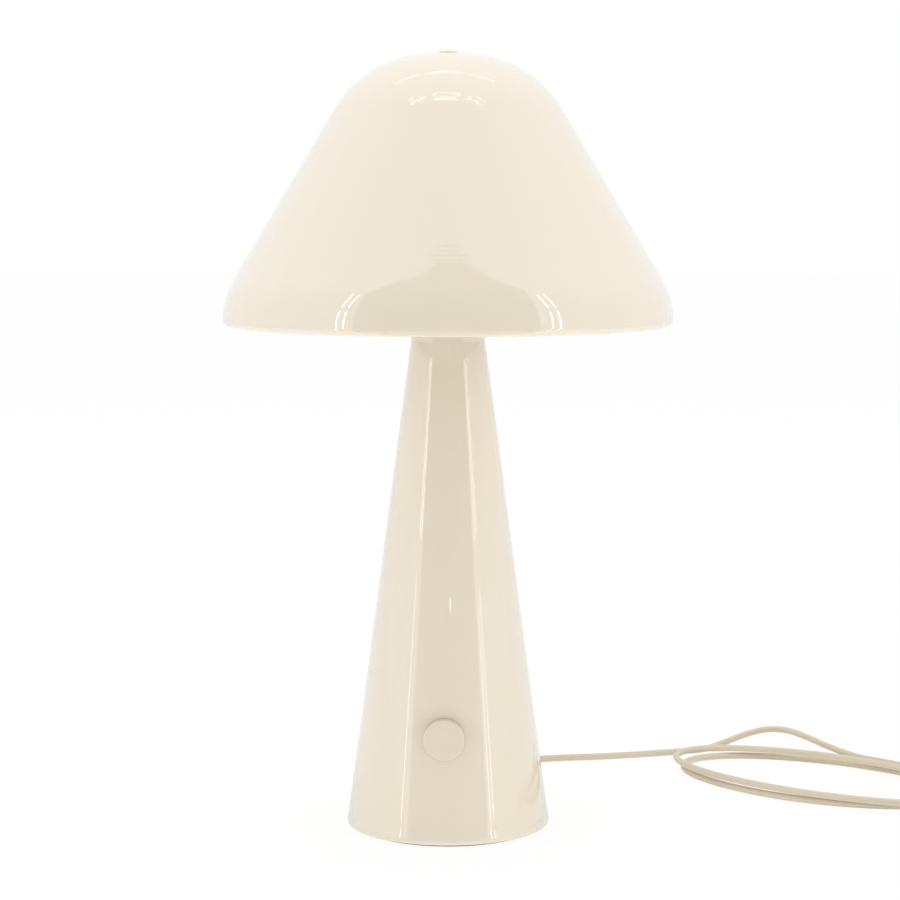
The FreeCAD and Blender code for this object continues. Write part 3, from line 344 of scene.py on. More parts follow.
def build_materials():
    return {
        "cream_paint": cream_enamel("cream_enamel", peel_distance=0.0000012),
        "cream_spun": cream_enamel("cream_enamel_spun", peel_distance=0.0000008, ring_amount=0.25,
                                   mark_amount=6.5),
        "cream_plastic": moulded("cream_plastic", (0.835, 0.75, 0.615), (0.82, 0.73, 0.59), 0.16,
                                 distance=0.000004),
        "cord_plastic": moulded("cord_plastic", (0.705, 0.625, 0.485), (0.67, 0.585, 0.44), 0.4,
                                grain=1500.0, distance=0.00002),
        "zinc_steel": metal("zinc_steel", (0.62, 0.62, 0.61), (0.5, 0.5, 0.49), 0.34,
                            drift=0.16, scale=160.0),
        "cast_weight": moulded("cast_weight", (0.06, 0.06, 0.063), (0.035, 0.035, 0.037), 0.7,
                               grain=500.0, distance=0.0002),
        "dark_rubber": moulded("dark_rubber", (0.26, 0.25, 0.235), (0.22, 0.21, 0.2), 0.75,
                               grain=900.0, distance=0.00006),
        "holder_plastic": moulded("holder_plastic", (0.8, 0.78, 0.73), (0.76, 0.735, 0.68), 0.38),
        "dark_plastic": moulded("dark_plastic", (0.025, 0.025, 0.027), (0.018, 0.018, 0.019), 0.4),
        "white_ceramic": moulded("white_ceramic", (0.84, 0.83, 0.79), (0.8, 0.785, 0.74), 0.12,
                                 grain=300.0, coat=0.6),
        "brass": metal("brass", (0.72, 0.5, 0.22), (0.6, 0.4, 0.16), 0.28, drift=0.12, scale=120.0),
        "bulb_metal": metal("bulb_metal", (0.72, 0.72, 0.72), (0.6, 0.6, 0.59), 0.26,
                            drift=0.1, scale=140.0),
        "opal_glass": moulded("opal_glass", (0.93, 0.93, 0.9), (0.9, 0.9, 0.87), 0.08,
                              grain=60.0, distance=0.00002, coat=0.5),
        "pin_metal": metal("pin_metal", (0.74, 0.73, 0.7), (0.66, 0.65, 0.62), 0.16,
                           drift=0.06, scale=90.0),
    }


# Which finish each carried-over node takes
NODE_FINISH = {
    "cream_paint": ["neck_cap"],
    "cord_plastic": ["cord_gland", "inner_cord", "plug_relief", "plug_body"],
    "zinc_steel": ["base_plate", "plate_nut", "lamp_tube", "weight_washer", "weight_nut", "harp_saddle",
                   "lock_washer", "neck_nut", "harp", "seat_nut", "switch_bracket",
                   "guide_screws", "bracket_screws", "clamp_screws", "terminal_screws"],
    "cast_weight": ["counterweight"],
    "dark_rubber": ["foot_pad", "seat_washer"],
    "holder_plastic": ["holder_cap", "holder_sleeve", "clamp_base", "clamp_bridge", "terminal_block",
                       "inner_lead", "button_guide"],
    "dark_plastic": ["switch_body", "switch_plunger", "switch_wires"],
    "white_ceramic": ["holder_insert"],
    "brass": ["holder_shell", "holder_contact", "shade_seat", "bulb_contact", "switch_tabs"],
    "bulb_metal": ["bulb_cap"],
    "opal_glass": ["bulb_glass"],
    "pin_metal": ["plug_pins"],
}


def dress_nodes(materials):
    for finish, names in NODE_FINISH.items():
        for name in names:
            mesh = NODES[name].data
            mesh.materials.clear()
            mesh.materials.append(materials[finish])
            smooth(NODES[name], degrees=28)


# Shapes

def smooth(obj, degrees):
    """Smooth shading with a sharp edge wherever two faces meet at more than the given angle."""
    obj.data.shade_smooth()
    obj.data.set_sharp_from_angle(angle=math.radians(degrees))


def link_object(name, data, material, body, replaced):
    """A piece of the scene on its body, in place of the nodes that it replaces."""
    obj = bpy.data.objects.new(name, data)
    bpy.context.scene.collection.objects.link(obj)
    data.materials.append(material)
    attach(obj, body)
    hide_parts(*replaced)
    return obj


def rounded(corners, step=6.0):
    """Points along (radius, height, corner round) corners, in millimetres, with the rounds drawn in."""
    points = []
    count = len(corners)
    for k, corner in enumerate(corners):
        at = Vector(corner[:2])
        radius = corner[2] if len(corner) > 2 else 0
        if radius <= 0 or k in (0, count - 1):
            points.append(at)
            continue
        to_before = (Vector(corners[k - 1][:2]) - at).normalized()
        to_after = (Vector(corners[k + 1][:2]) - at).normalized()
        half = to_before.angle(to_after) / 2
        middle_way = (to_before + to_after).normalized()
        centre = at + middle_way * (radius / math.sin(half))
        start = at + to_before * (radius / math.tan(half)) - centre
        turn = math.pi - 2 * half
        side = math.copysign(1, start.x * (-to_before.y) - start.y * (-to_before.x))
        steps = max(4, math.ceil(math.degrees(turn) / step))
        for n in range(steps + 1):
            bent = start.copy()
            bent.rotate(Matrix.Rotation(side * turn * n / steps, 2))
            points.append(centre + bent)
    return points


def turned(name, points, at, way, sides, closed=False):
    """Mesh turned about an axis from (radius, height) points in millimetres."""
    mesh = bpy.data.meshes.new(name)
    bm = bmesh.new()
    rings = []
    for radius, height in points:
        if radius < 1e-6:
            rings.append([bm.verts.new((0, 0, height * MM))])
            continue
        ring = []
        for k in range(sides):
            angle = 2 * math.pi * k / sides
            ring.append(bm.verts.new((radius * MM * math.cos(angle), radius * MM * math.sin(angle),
                                      height * MM)))
        rings.append(ring)
    pairs = list(zip(rings, rings[1:]))
    if closed:
        pairs.append((rings[-1], rings[0]))
    for low, high in pairs:
        for k in range(sides):
            n = (k + 1) % sides
            if len(low) == 1 and len(high) == 1:
                break
            if len(low) == 1:
                bm.faces.new((low[0], high[n], high[k]))
            elif len(high) == 1:
                bm.faces.new((low[k], low[n], high[0]))
            else:
                bm.faces.new((low[k], low[n], high[n], high[k]))
    bmesh.ops.recalc_face_normals(bm, faces=bm.faces)
    turn = Vector((0, 0, 1)).rotation_difference(Vector(way)).to_matrix().to_4x4()
    bmesh.ops.transform(bm, matrix=Matrix.Translation(Vector(at) * MM) @ turn, verts=bm.verts)
    bm.to_mesh(mesh)
    bm.free()
    return mesh


def arc(centre, radius, start, end, step):
    """Points on an arc, its angles in radians from level and its step in degrees."""
    count = max(2, math.ceil(abs(math.degrees(end - start)) / step))
    return [Vector((centre[0] + radius * math.cos(start + (end - start) * k / count),
                    centre[1] + radius * math.sin(start + (end - start) * k / count)))
            for k in range(count + 1)]


# Shade

SHADE_RADIUS, SHADE_HEIGHT, RIM_Z, SHADE_WALL = 150.0, 180.3, 340.5, 0.9
RIM_ROUND, RIM_LIP, LOWER_CURVE, SHOULDER_CURVE, CROWN_CURVE, CROWN_EDGE = 4.5, 5.0, 52.1, 75.3, 195.0, 18.08
SHADE_TOP = RIM_Z + SHADE_HEIGHT
SHADE_HOLE, CONE_STEPS, SHADE_SIDES = 3.3, 24, 256
# Degrees between the points of small rounds, of the shade's outer face and of its inner face
ROUND_STEP, OUTER_STEP, INNER_STEP = 7.5, 0.6, 2.0


def shade_side(offset, step):
    """The shade's outline from the lip up to its hole, moved inwards by an offset."""
    rim_at = Vector((SHADE_RADIUS - RIM_ROUND, RIM_Z + RIM_ROUND))
    curve_at = Vector((SHADE_RADIUS - LOWER_CURVE, RIM_Z + RIM_ROUND))
    crown_at = Vector((0, SHADE_TOP - CROWN_CURVE))
    crown_angle = math.acos(CROWN_EDGE / CROWN_CURVE)
    crown_out = Vector((math.cos(crown_angle), math.sin(crown_angle)))
    shoulder_at = crown_at + crown_out * (CROWN_CURVE - SHOULDER_CURVE)
    apart = shoulder_at - curve_at
    side = math.atan2(apart.y, apart.x) - math.acos((LOWER_CURVE - SHOULDER_CURVE) / apart.length)
    hole = math.pi / 2 - SHADE_HOLE / CROWN_CURVE
    lip = Vector((SHADE_RADIUS - RIM_ROUND - RIM_LIP, RIM_Z + offset))
    points = [lip]
    points += arc(rim_at, RIM_ROUND - offset, -math.pi / 2, 0, ROUND_STEP)
    points += arc(curve_at, LOWER_CURVE - offset, 0, side, step)[1:]
    foot = points[-1]
    wall = arc(shoulder_at, SHOULDER_CURVE - offset, side, crown_angle, step)
    points += [foot.lerp(wall[0], k / CONE_STEPS) for k in range(1, CONE_STEPS)]
    points += wall
    points += arc(crown_at, CROWN_CURVE - offset, crown_angle, hole, OUTER_STEP)[1:]
    return points


def make_shade(materials):
    """The spun dome: outer face, turned-in rim and inner face in one skin."""
    outline = shade_side(0, OUTER_STEP) + list(reversed(shade_side(SHADE_WALL, INNER_STEP)))
    mesh = turned("spun_shade", outline, (0, 0, 0), (0, 0, 1), SHADE_SIDES, closed=True)
    obj = link_object("spun_shade", mesh, materials["cream_spun"], "lamp", ["shade"])
    smooth(obj, degrees=40)


CAP_RADIUS, CAP_HEIGHT, CAP_EDGE, CAP_BEVEL, CAP_SINK, CAP_ARRIS = 7.0, 2.4, 0.4, 0.3, 0.05, 0.05
CAP_STEM_RADIUS, CAP_STEM_LENGTH, CAP_STEP, CAP_SIDES = 2.5, 13, 3.0, 96


def make_cap(materials):
    """The low dome on the crown, with its stem down into the seat under the shade."""
    low = SHADE_TOP - CAP_SINK
    rise = CAP_HEIGHT - CAP_EDGE
    dome = (CAP_RADIUS ** 2 + rise ** 2) / (2 * rise)
    reach = math.asin(CAP_RADIUS / dome)
    top = arc((0, low + CAP_HEIGHT - dome), dome, math.pi / 2 - reach, math.pi / 2, CAP_STEP)
    outline = rounded([(0, low - CAP_STEM_LENGTH), (CAP_STEM_RADIUS, low - CAP_STEM_LENGTH),
                       (CAP_STEM_RADIUS, low), (CAP_RADIUS - CAP_BEVEL, low), (CAP_RADIUS, low + CAP_BEVEL),
                       (CAP_RADIUS, low + CAP_EDGE - CAP_ARRIS)])
    outline += top[1:-1] + [Vector((0, low + CAP_HEIGHT))]
    mesh = turned("crown_cap", outline, (0, 0, 0), (0, 0, 1), CAP_SIDES)
    obj = link_object("crown_cap", mesh, materials["cream_paint"], "cap", ["cap_screw"])
    smooth(obj, degrees=35)


# Base

FOOT_RADIUS, NECK_RADIUS, SHELL_BOTTOM, SHELL_TOP = 68.6, 24.84, 2.2, 330.0
EDGE_ROUND, LIP_RADIUS, SHEET, EDGE_BEVEL = 3.0, 54.5, 1.0, 0.12
FLARE_Z, FLARE_HEIGHT, FLARE_OUT, HEM_OUT, FLARE_CURVE, HEM_CURVE = 10.4, 2.4, 0.37, 0.37, 3.0, 29.0
BUTTON_Z, BUTTON_RADIUS, HOLE_GAP, BUTTON_PROUD = 71.7, 13.6, 0.05, 5.0
FOOT_TOP, LOW_ROWS, HIGH_ROWS = 24.0, 10, 44
AROUND, WINDOW_COLUMNS, WINDOW_HALF, WINDOW_ROW = 192, 12, 22.0, 2.0
# How far each ring of the window has come from its border to the round hole
WINDOW_SHARES = (0.3, 0.55, 0.75, 0.88, 0.95, 1.0)
TAPER = (FOOT_RADIUS - NECK_RADIUS) / (SHELL_TOP - SHELL_BOTTOM)


def cone_radius(z):
    """The cone's radius at a height, both in millimetres."""
    return FOOT_RADIUS - TAPER * (z - SHELL_BOTTOM)


def shell_point(column, radius, z):
    """A point of the base's surface; column 0 is at the front."""
    angle = -math.pi / 2 + 2 * math.pi * column / AROUND
    return (radius * math.cos(angle) * MM, radius * math.sin(angle) * MM, z * MM)


def make_base(materials):
    """The cone with its turned-in foot, and the button's hole let into a window of its front."""
    hem_z = FLARE_Z - FLARE_HEIGHT
    foot = rounded([(LIP_RADIUS, SHELL_BOTTOM), (FOOT_RADIUS + HEM_OUT, SHELL_BOTTOM, EDGE_ROUND),
                    (cone_radius(hem_z) + FLARE_OUT, hem_z, HEM_CURVE),
                    (cone_radius(FLARE_Z), FLARE_Z, FLARE_CURVE), (cone_radius(FOOT_TOP), FOOT_TOP)],
                   ROUND_STEP)[:-1]
    low, high = BUTTON_Z - WINDOW_HALF, BUTTON_Z + WINDOW_HALF
    start = foot[-1].y
    levels = [start + (low - start) * k / LOW_ROWS for k in range(1, LOW_ROWS)]
    window = [low + WINDOW_ROW * k for k in range(int(2 * WINDOW_HALF / WINDOW_ROW) + 1)]
    above = [high + (SHELL_TOP - high) * k / HIGH_ROWS for k in range(1, HIGH_ROWS + 1)]
    outline = [tuple(p) for p in foot] + [(cone_radius(z), z) for z in levels + window + above]
    bm = bmesh.new()
    grid = [[bm.verts.new(shell_point(c, r, z)) for c in range(AROUND)] for r, z in outline]
    first = len(foot) + len(levels)
    last = first + len(window) - 1
    for row in range(len(grid) - 1):
        for c in range(AROUND):
            inside = c < WINDOW_COLUMNS or c >= AROUND - WINDOW_COLUMNS
            if first <= row < last and inside:
                continue
            n = (c + 1) % AROUND
            bm.faces.new((grid[row][c], grid[row][n], grid[row + 1][n], grid[row + 1][c]))
    border = [grid[first][c] for c in range(-WINDOW_COLUMNS, WINDOW_COLUMNS)]
    border += [grid[row][WINDOW_COLUMNS] for row in range(first, last)]
    border += [grid[last][c] for c in range(WINDOW_COLUMNS, -WINDOW_COLUMNS, -1)]
    border += [grid[row][-WINDOW_COLUMNS] for row in range(last, first, -1)]
    hole = BUTTON_RADIUS + HOLE_GAP
    before = border
    for share in WINDOW_SHARES:
        ring = []
        for vert in border:
            out = Vector((vert.co.x / MM, vert.co.z / MM - BUTTON_Z))
            flat = out.lerp(out.normalized() * hole, share)
            z = BUTTON_Z + flat.y
            y = -math.sqrt(cone_radius(z) ** 2 - flat.x ** 2)
            ring.append(bm.verts.new((flat.x * MM, y * MM, z * MM)))
        for k in range(len(border)):
            n = (k + 1) % len(border)
            bm.faces.new((before[k], before[n], ring[n], ring[k]))
        before = ring
    bmesh.ops.recalc_face_normals(bm, faces=bm.faces)
    mesh = bpy.data.meshes.new("rolled_base")
    bm.to_mesh(mesh)
    bm.free()
    obj = link_object("rolled_base", mesh, materials["cream_paint"], "lamp", ["base_shell"])
    shell = obj.modifiers.new("sheet", "SOLIDIFY")
    shell.thickness = SHEET * MM
    shell.offset = -1
    edge = obj.modifiers.new("edges", "BEVEL")
    edge.limit_method = "ANGLE"
    edge.angle_limit = math.radians(50)
    edge.width = EDGE_BEVEL * MM
    edge.segments = 2
    edge.harden_normals = True
    smooth(obj, degrees=40)


# Button, measured back from its face

BUTTON_EDGE, BUTTON_SKIN, BUTTON_WALL, BUTTON_DEPTH, BUTTON_SIDES = 1.1, 2.5, 2.0, 12.3, 128
FLANGE_OUT, FLANGE_THICK, BUTTON_STEM, BUTTON_TRAVEL, SWITCH_GAP = 1.6, 1.5, 2.6, 2.5, 0.2
GUIDE_DEPTH, GUIDE_PLATE, BRACKET_SHEET = 7.6, 2.5, 1.5


def button_face():
    """The y of the button's face at rest, in millimetres."""
    return -(cone_radius(BUTTON_Z) + BUTTON_PROUD)


def make_button(materials):
    """A hollow button with a flange behind the base's sheet and a stem that ends just before the switch."""
    out, inside, back = BUTTON_RADIUS + FLANGE_OUT, BUTTON_RADIUS - BUTTON_WALL, BUTTON_DEPTH + FLANGE_THICK
    stem = BUTTON_DEPTH + GUIDE_DEPTH + GUIDE_PLATE + BRACKET_SHEET - BUTTON_TRAVEL - SWITCH_GAP
    outline = rounded([(0, 0), (BUTTON_RADIUS, 0, BUTTON_EDGE), (BUTTON_RADIUS, BUTTON_DEPTH),
                       (out, BUTTON_DEPTH), (out, back), (inside, back), (inside, BUTTON_SKIN),
                       (BUTTON_STEM, BUTTON_SKIN), (BUTTON_STEM, stem), (0, stem)])
    mesh = turned("push_button", outline, (0, button_face(), BUTTON_Z), (0, 1, 0), BUTTON_SIDES)
    obj = link_object("push_button", mesh, materials["cream_plastic"], "button",
                      ["button_cap"])
    smooth(obj, degrees=35)


# Return spring behind the button, which shortens as the button goes in

SPRING_WIRE, SPRING_RADIUS, SPRING_TURNS, SPRING_STEPS, WIRE_SIDES = 0.9, 6.0, 5, 40, 12
SPRING_FROM, SPRING_TO = BUTTON_SKIN, BUTTON_DEPTH + GUIDE_DEPTH


def make_spring(materials):
    """A coiled wire between the inside of the button's face and the guide's back plate."""
    face = button_face()
    start, end = face + SPRING_FROM + SPRING_WIRE / 2, face + SPRING_TO - SPRING_WIRE / 2
    count = SPRING_TURNS * SPRING_STEPS
    verts = []
    for k in range(count + 1):
        angle = 2 * math.pi * k / SPRING_STEPS
        out = Vector((math.cos(angle), 0, math.sin(angle)))
        way = Vector((-math.sin(angle) * SPRING_RADIUS * 2 * math.pi, (end - start) / SPRING_TURNS,
                      math.cos(angle) * SPRING_RADIUS * 2 * math.pi)).normalized()
        side = way.cross(out)
        middle = Vector((0, start + (end - start) * k / count, BUTTON_Z)) + out * SPRING_RADIUS
        for n in range(WIRE_SIDES):
            turn = 2 * math.pi * n / WIRE_SIDES
            verts.append((middle + (out * math.cos(turn) + side * math.sin(turn)) * SPRING_WIRE / 2) * MM)
    faces = [(k * WIRE_SIDES + n, k * WIRE_SIDES + (n + 1) % WIRE_SIDES,
              (k + 1) * WIRE_SIDES + (n + 1) % WIRE_SIDES, (k + 1) * WIRE_SIDES + n)
             for k in range(count) for n in range(WIRE_SIDES)]
    faces.append(tuple(range(WIRE_SIDES)))
    faces.append(tuple(reversed(range(count * WIRE_SIDES, (count + 1) * WIRE_SIDES))))
    mesh = bpy.data.meshes.new("return_spring")
    mesh.from_pydata(verts, [], faces)
    bm = bmesh.new()
    bm.from_mesh(mesh)
    bmesh.ops.recalc_face_normals(bm, faces=bm.faces)
    bm.to_mesh(mesh)
    bm.free()
    obj = link_object("return_spring", mesh, materials["zinc_steel"], "lamp",
                      ["button_spring"])
    smooth(obj, degrees=50)
    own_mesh(obj)


# Cord

CORD_D = 4.8
LEAD = [(0, 91.89, 24), (0, 106.89, 24), (4, 130, 18), (11, 152, 8.5), (24, 174, 3.4), (44, 191, 2.4),
        (71, 200.5, 2.4), (99, 205.5, 2.4), (127, 213, 2.4), (151, 221.5, 2.4), (171, 229.5, 2.4),
        (189, 235, 2.8), (206, 240.5, 8.4), (222, 245, 13.8), (237.5, 246.5, 17), (252, 240.5, 17),
        (265.5, 226, 14.5), (278.5, 207.5, 11.6)]
COIL_CENTRE, COIL_LONG, COIL_WIDE = (266, 130), 127.0, 68.0
COIL_TILT, COIL_START, COIL_TURNS = math.radians(-37.0), math.radians(85.0), 2.144
COIL_TOP_END, COIL_LOW_START, COIL_PITCH, COIL_LAYER, COIL_FAN = 1.05, 1.55, 11.0, 5.8, 4.0
TAIL_POINT, PLUG_AT, PLUG_TURN, PLUG_THICK = (381, 63, 3.8), (391.0, 39.5), math.radians(-71.0), 13.7
# Control points on each turn, and how far the ones outside the coil stand from its ends and from the plug
POINTS_PER_TURN, BEFORE_COIL, AFTER_COIL, BEFORE_PLUG = 32, 16.0, 12.0, 9.0
HAIR = 1e-5


def coil_at(turn):
    """A point on the coil's middle line, a number of turns from its start, in millimetres."""
    inside = COIL_PITCH * (min(turn, COIL_TOP_END) - max(0.0, turn - COIL_LOW_START))
    fan = COIL_FAN * math.cos(math.pi * turn / COIL_TURNS)
    angle = COIL_START - 2 * math.pi * turn
    long = (COIL_LONG - inside + fan) * math.cos(angle)
    wide = (COIL_WIDE - inside - fan) * math.sin(angle)
    drop = min(1.0, max(0.0, (turn - COIL_TOP_END) / (COIL_LOW_START - COIL_TOP_END)))
    z = CORD_D / 2 + COIL_LAYER * (1 + math.cos(math.pi * drop)) / 2
    return Vector((COIL_CENTRE[0] + long * math.cos(COIL_TILT) - wide * math.sin(COIL_TILT),
                   COIL_CENTRE[1] + long * math.sin(COIL_TILT) + wide * math.cos(COIL_TILT), z))


def cord_points():
    """The whole free cord's control points: lead, coil and tail, in millimetres."""
    first_way = (coil_at(HAIR) - coil_at(-HAIR)).normalized()
    last_way = (coil_at(COIL_TURNS + HAIR) - coil_at(COIL_TURNS - HAIR)).normalized()
    first, last = coil_at(0), coil_at(COIL_TURNS)
    points = [Vector(p) for p in LEAD]
    points.append(first - first_way * (CORD_D + BEFORE_COIL))
    count = round(COIL_TURNS * POINTS_PER_TURN)
    points += [coil_at(COIL_TURNS * k / count) for k in range(count + 1)]
    plug_way = Vector((math.cos(PLUG_TURN), math.sin(PLUG_TURN), 0))
    end = Vector((*PLUG_AT, PLUG_THICK / 2))
    points += [last + last_way * (CORD_D + AFTER_COIL), Vector(TAIL_POINT),
               end - plug_way * BEFORE_PLUG, end]
    return points


def make_cord(materials):
    """The free cord as one round spline along its control points."""
    curve = bpy.data.curves.new("mains_cord", "CURVE")
    curve.dimensions = "3D"
    curve.bevel_depth = CORD_D / 2 * MM
    curve.bevel_resolution = 7
    spline = curve.splines.new("NURBS")
    points = cord_points()
    spline.points.add(len(points) - 1)
    for point, at in zip(spline.points, points):
        point.co = (*(at * MM), 1)
    spline.order_u = 3
    spline.use_endpoint_u = True
    spline.resolution_u = 8
    cord = link_object("mains_cord", curve, materials["cord_plastic"], "lamp",
                       ["cord_lead", "cord_coil", "cord_tail"])


# Room

SKY_LEVEL = 0.63
FLOOR_HALF, FLOOR_Z, FLOOR_WHITE, FLOOR_ROUGHNESS = 12, -0.0002, 0.9, 0.6
# Light that the floor sends up, near the lamp and away from it, and the two radii between which it falls
NEAR_BOUNCE, BOUNCE_LEVEL, BOUNCE_FROM, BOUNCE_TO = 0.3, 0.19, 0.07, 0.15
OVERHEAD_AT, OVERHEAD_SIZE, OVERHEAD_POWER = (0, -0.2, 3.0), 1.6, 30.0
OVERHEAD_AIM, SIDE_AIM = (0, 0, 0.2), (0, 0, 0.4)
SIDE_AT, SIDE_SIZE, SIDE_POWER = (1.6, 0.0, 0.9), 0.8, 2.6
LOW_AWAY, LOW_HEIGHT, LOW_AIM, LOW_CONE, LOW_BLEND, LOW_SIZE = 0.6, 0.04, 0.07, 62.0, 0.25, 0.02
LEFT_POWER, RIGHT_POWER, SPOT_TURN = 0.87, 1.1, 38
# Levels that the surroundings show in reflections, where white is 1, the last a painted shade near the lamp
BACK_LEVEL, FLOOR_LEVEL, GLOSS_SHADE_LEVEL = 0.93, 0.93, 0.82
# Radii between which the floor in reflections goes from its painted shade near the lamp to its full level
GLOSS_SHADE_FROM, GLOSS_SHADE_TO = 0.1, 0.5
# The floor's level to the camera, and the share of its look that no shadow darkens
SEEN_LEVEL, SEEN_SHARE = 1.05, 0.85


def stage_plane(name, corners, material):
    """A flat piece of the room, its corners in metres."""
    mesh = bpy.data.meshes.new(name)
    mesh.from_pydata(corners, [], [tuple(range(len(corners)))])
    obj = bpy.data.objects.new(name, mesh)
    bpy.context.scene.collection.objects.link(obj)
    mesh.materials.append(material)
    return obj


def glow(name, colour, strength):
    """A surface that shows a plain colour of its own, whatever lights it."""
    material = bpy.data.materials.new(name)
    material.use_nodes = True
    tree = material.node_tree
    tree.nodes.clear()
    out = add(tree, "ShaderNodeOutputMaterial")
    light = add(tree, "ShaderNodeEmission", {"Color": (*colour, 1), "Strength": strength})
    link(tree, light, 0, out, 0)
    return material


def floor_material():
    """Pale floor that is white to the camera and in reflections away from the lamp, with painted shade in
    reflections near the lamp and the shadow kept faint.
    """
    material = bpy.data.materials.new("pale_floor")
    material.use_nodes = True
    tree = material.node_tree
    shader = tree.nodes["Principled BSDF"]
    shader.inputs["Base Color"].default_value = (FLOOR_WHITE, FLOOR_WHITE, FLOOR_WHITE, 1)
    shader.inputs["Roughness"].default_value = FLOOR_ROUGHNESS
    out = tree.nodes["Material Output"]
    path = add(tree, "ShaderNodeLightPath")
    seen = add(tree, "ShaderNodeMath", operation="ADD", use_clamp=True)
    also = add(tree, "ShaderNodeMath", operation="ADD", use_clamp=True)
    share = add(tree, "ShaderNodeMath", operation="MULTIPLY")
    share.inputs[1].default_value = SEEN_SHARE
    white = add(tree, "ShaderNodeEmission", {"Color": (1, 1, 1, 1)})
    strength = add(tree, "ShaderNodeMapRange", {"To Min": SEEN_LEVEL})
    # Painted shade: in reflections the floor is darker near the lamp, standing in for the shade's shadow on
    # it
    near = add(tree, "ShaderNodeMapRange",
               {"From Min": GLOSS_SHADE_FROM, "From Max": GLOSS_SHADE_TO, "To Min": GLOSS_SHADE_LEVEL, "To Max": FLOOR_LEVEL},
               interpolation_type="SMOOTHSTEP")
    blend = add(tree, "ShaderNodeMixShader")
    link(tree, path, "Is Camera Ray", seen, 0)
    link(tree, path, "Is Glossy Ray", seen, 1)
    link(tree, seen, 0, also, 0)
    link(tree, path, "Is Transmission Ray", also, 1)
    link(tree, also, 0, share, 0)
    link(tree, share, 0, blend, 0)
    link(tree, shader, 0, blend, 1)
    link(tree, white, 0, blend, 2)
    bounce = add(tree, "ShaderNodeEmission", {"Color": (1, 1, 1, 1)})
    level = add(tree, "ShaderNodeMath", operation="MULTIPLY")
    place = add(tree, "ShaderNodeTexCoord")
    away = add(tree, "ShaderNodeVectorMath", operation="LENGTH")
    fade = add(tree, "ShaderNodeMapRange",
               {"From Min": BOUNCE_FROM, "From Max": BOUNCE_TO,
                "To Min": NEAR_BOUNCE, "To Max": BOUNCE_LEVEL},
               interpolation_type="SMOOTHSTEP")
    whole = add(tree, "ShaderNodeAddShader")
    link(tree, place, "Object", away, 0)
    link(tree, away, "Value", fade, "Value")
    link(tree, away, "Value", near, "Value")
    link(tree, path, "Is Glossy Ray", strength, "Value")
    link(tree, near, "Result", strength, "To Max")
    link(tree, strength, "Result", white, "Strength")
    link(tree, path, "Is Diffuse Ray", level, 0)
    link(tree, fade, "Result", level, 1)
    link(tree, level, 0, bounce, "Strength")
    link(tree, blend, 0, whole, 0)
    link(tree, bounce, 0, whole, 1)
    link(tree, whole, 0, out, 0)
    return material


def only_in_gloss(obj):
    """The object is seen in reflections alone."""
    obj.visible_camera = False
    obj.visible_diffuse = False
    obj.visible_shadow = False
    obj.visible_transmission = False


# Overhead tubes in shares of their height above the shade: half widths, then each row's y and its ends
CEILING, FRONT_HALF, BACK_HALF = 2.0, 0.009, 0.018
FRONT_ROWS, FRONT_SPANS = (-0.245, -0.31, -0.368), ((-0.53, -0.245), (-0.17, 0.16), (0.245, 0.52))
BACK_ROW, BACK_SPANS = 0.34, ((-0.575, -0.28), (-0.227, 0.11), (0.157, 0.443))


def make_ceiling(front, back):
    """Rows of tubes overhead, seen as short bright dashes on the crown."""
    top = SHADE_TOP * MM + CEILING
    rows = [(row, FRONT_HALF, span, front) for row in FRONT_ROWS for span in FRONT_SPANS]
    rows += [(BACK_ROW, BACK_HALF, span, back) for span in BACK_SPANS]
    for n, (row, half, (left, right), light) in enumerate(rows):
        near, far = (row - half) * CEILING, (row + half) * CEILING
        left, right = left * CEILING, right * CEILING
        only_in_gloss(stage_plane(f"ceiling_tube_{n}", [(left, near, top), (right, near, top),
                                                        (right, far, top), (left, far, top)], light))


# Dark front that the shade and the base mirror, as its outline on a board and a mat up to the foot
FRONT_BOARD_Y, FRONT_LEVEL = -1.25, 0.06
MAT_Z, MAT_HALF, MAT_END = 0.0004, 0.085, -0.075
FRONT_BOARD = [(-1.19, 0.0), (1.355, 0.0), (1.345, 0.8), (1.41, 1.5), (1.435, 1.93), (1.57, 2.6),
               (1.5, 2.74), (1.32, 2.82), (0.966, 2.62), (0.781, 2.53), (0.545, 2.44), (0.348, 2.388),
               (0.034, 2.334), (-0.22, 2.336), (-0.3, 2.333), (-0.428, 2.345), (-0.68, 2.415), (-1.0, 2.56),
               (-1.13, 2.5), (-1.3, 1.9), (-1.215, 1.43), (-1.185, 0.77)]
# Small light before the board: left, right, lowest and highest
FRONT_SPOT_Y, FRONT_SPOT = -1.2, (0.1, 0.14, 0.274, 0.29)
TUBE_AWAY, TUBE_HALF, UPPER_TUBES_FROM = 0.85, 0.0065, 0.26
TUBE_COLOUR, TUBE_LIGHT, UPPER_TUBE_LIGHT = (0.97, 0.98, 1.0), 4.6, 6.5
FRONT_CEILING_LIGHT, BACK_CEILING_LIGHT = 3.6, 2.5
# Azimuth from the front in degrees, lowest and highest end
TUBES = [(-51.0, 0.01, 0.245), (50.6, 0.013, 0.225), (54.8, 0.013, 0.235)]
TUBES += [(azimuth, low, high) for azimuth in (-49.8, -46.2, 51.3, 55.3)
          for low, high in ((0.288, 0.6), (0.665, 0.98))]


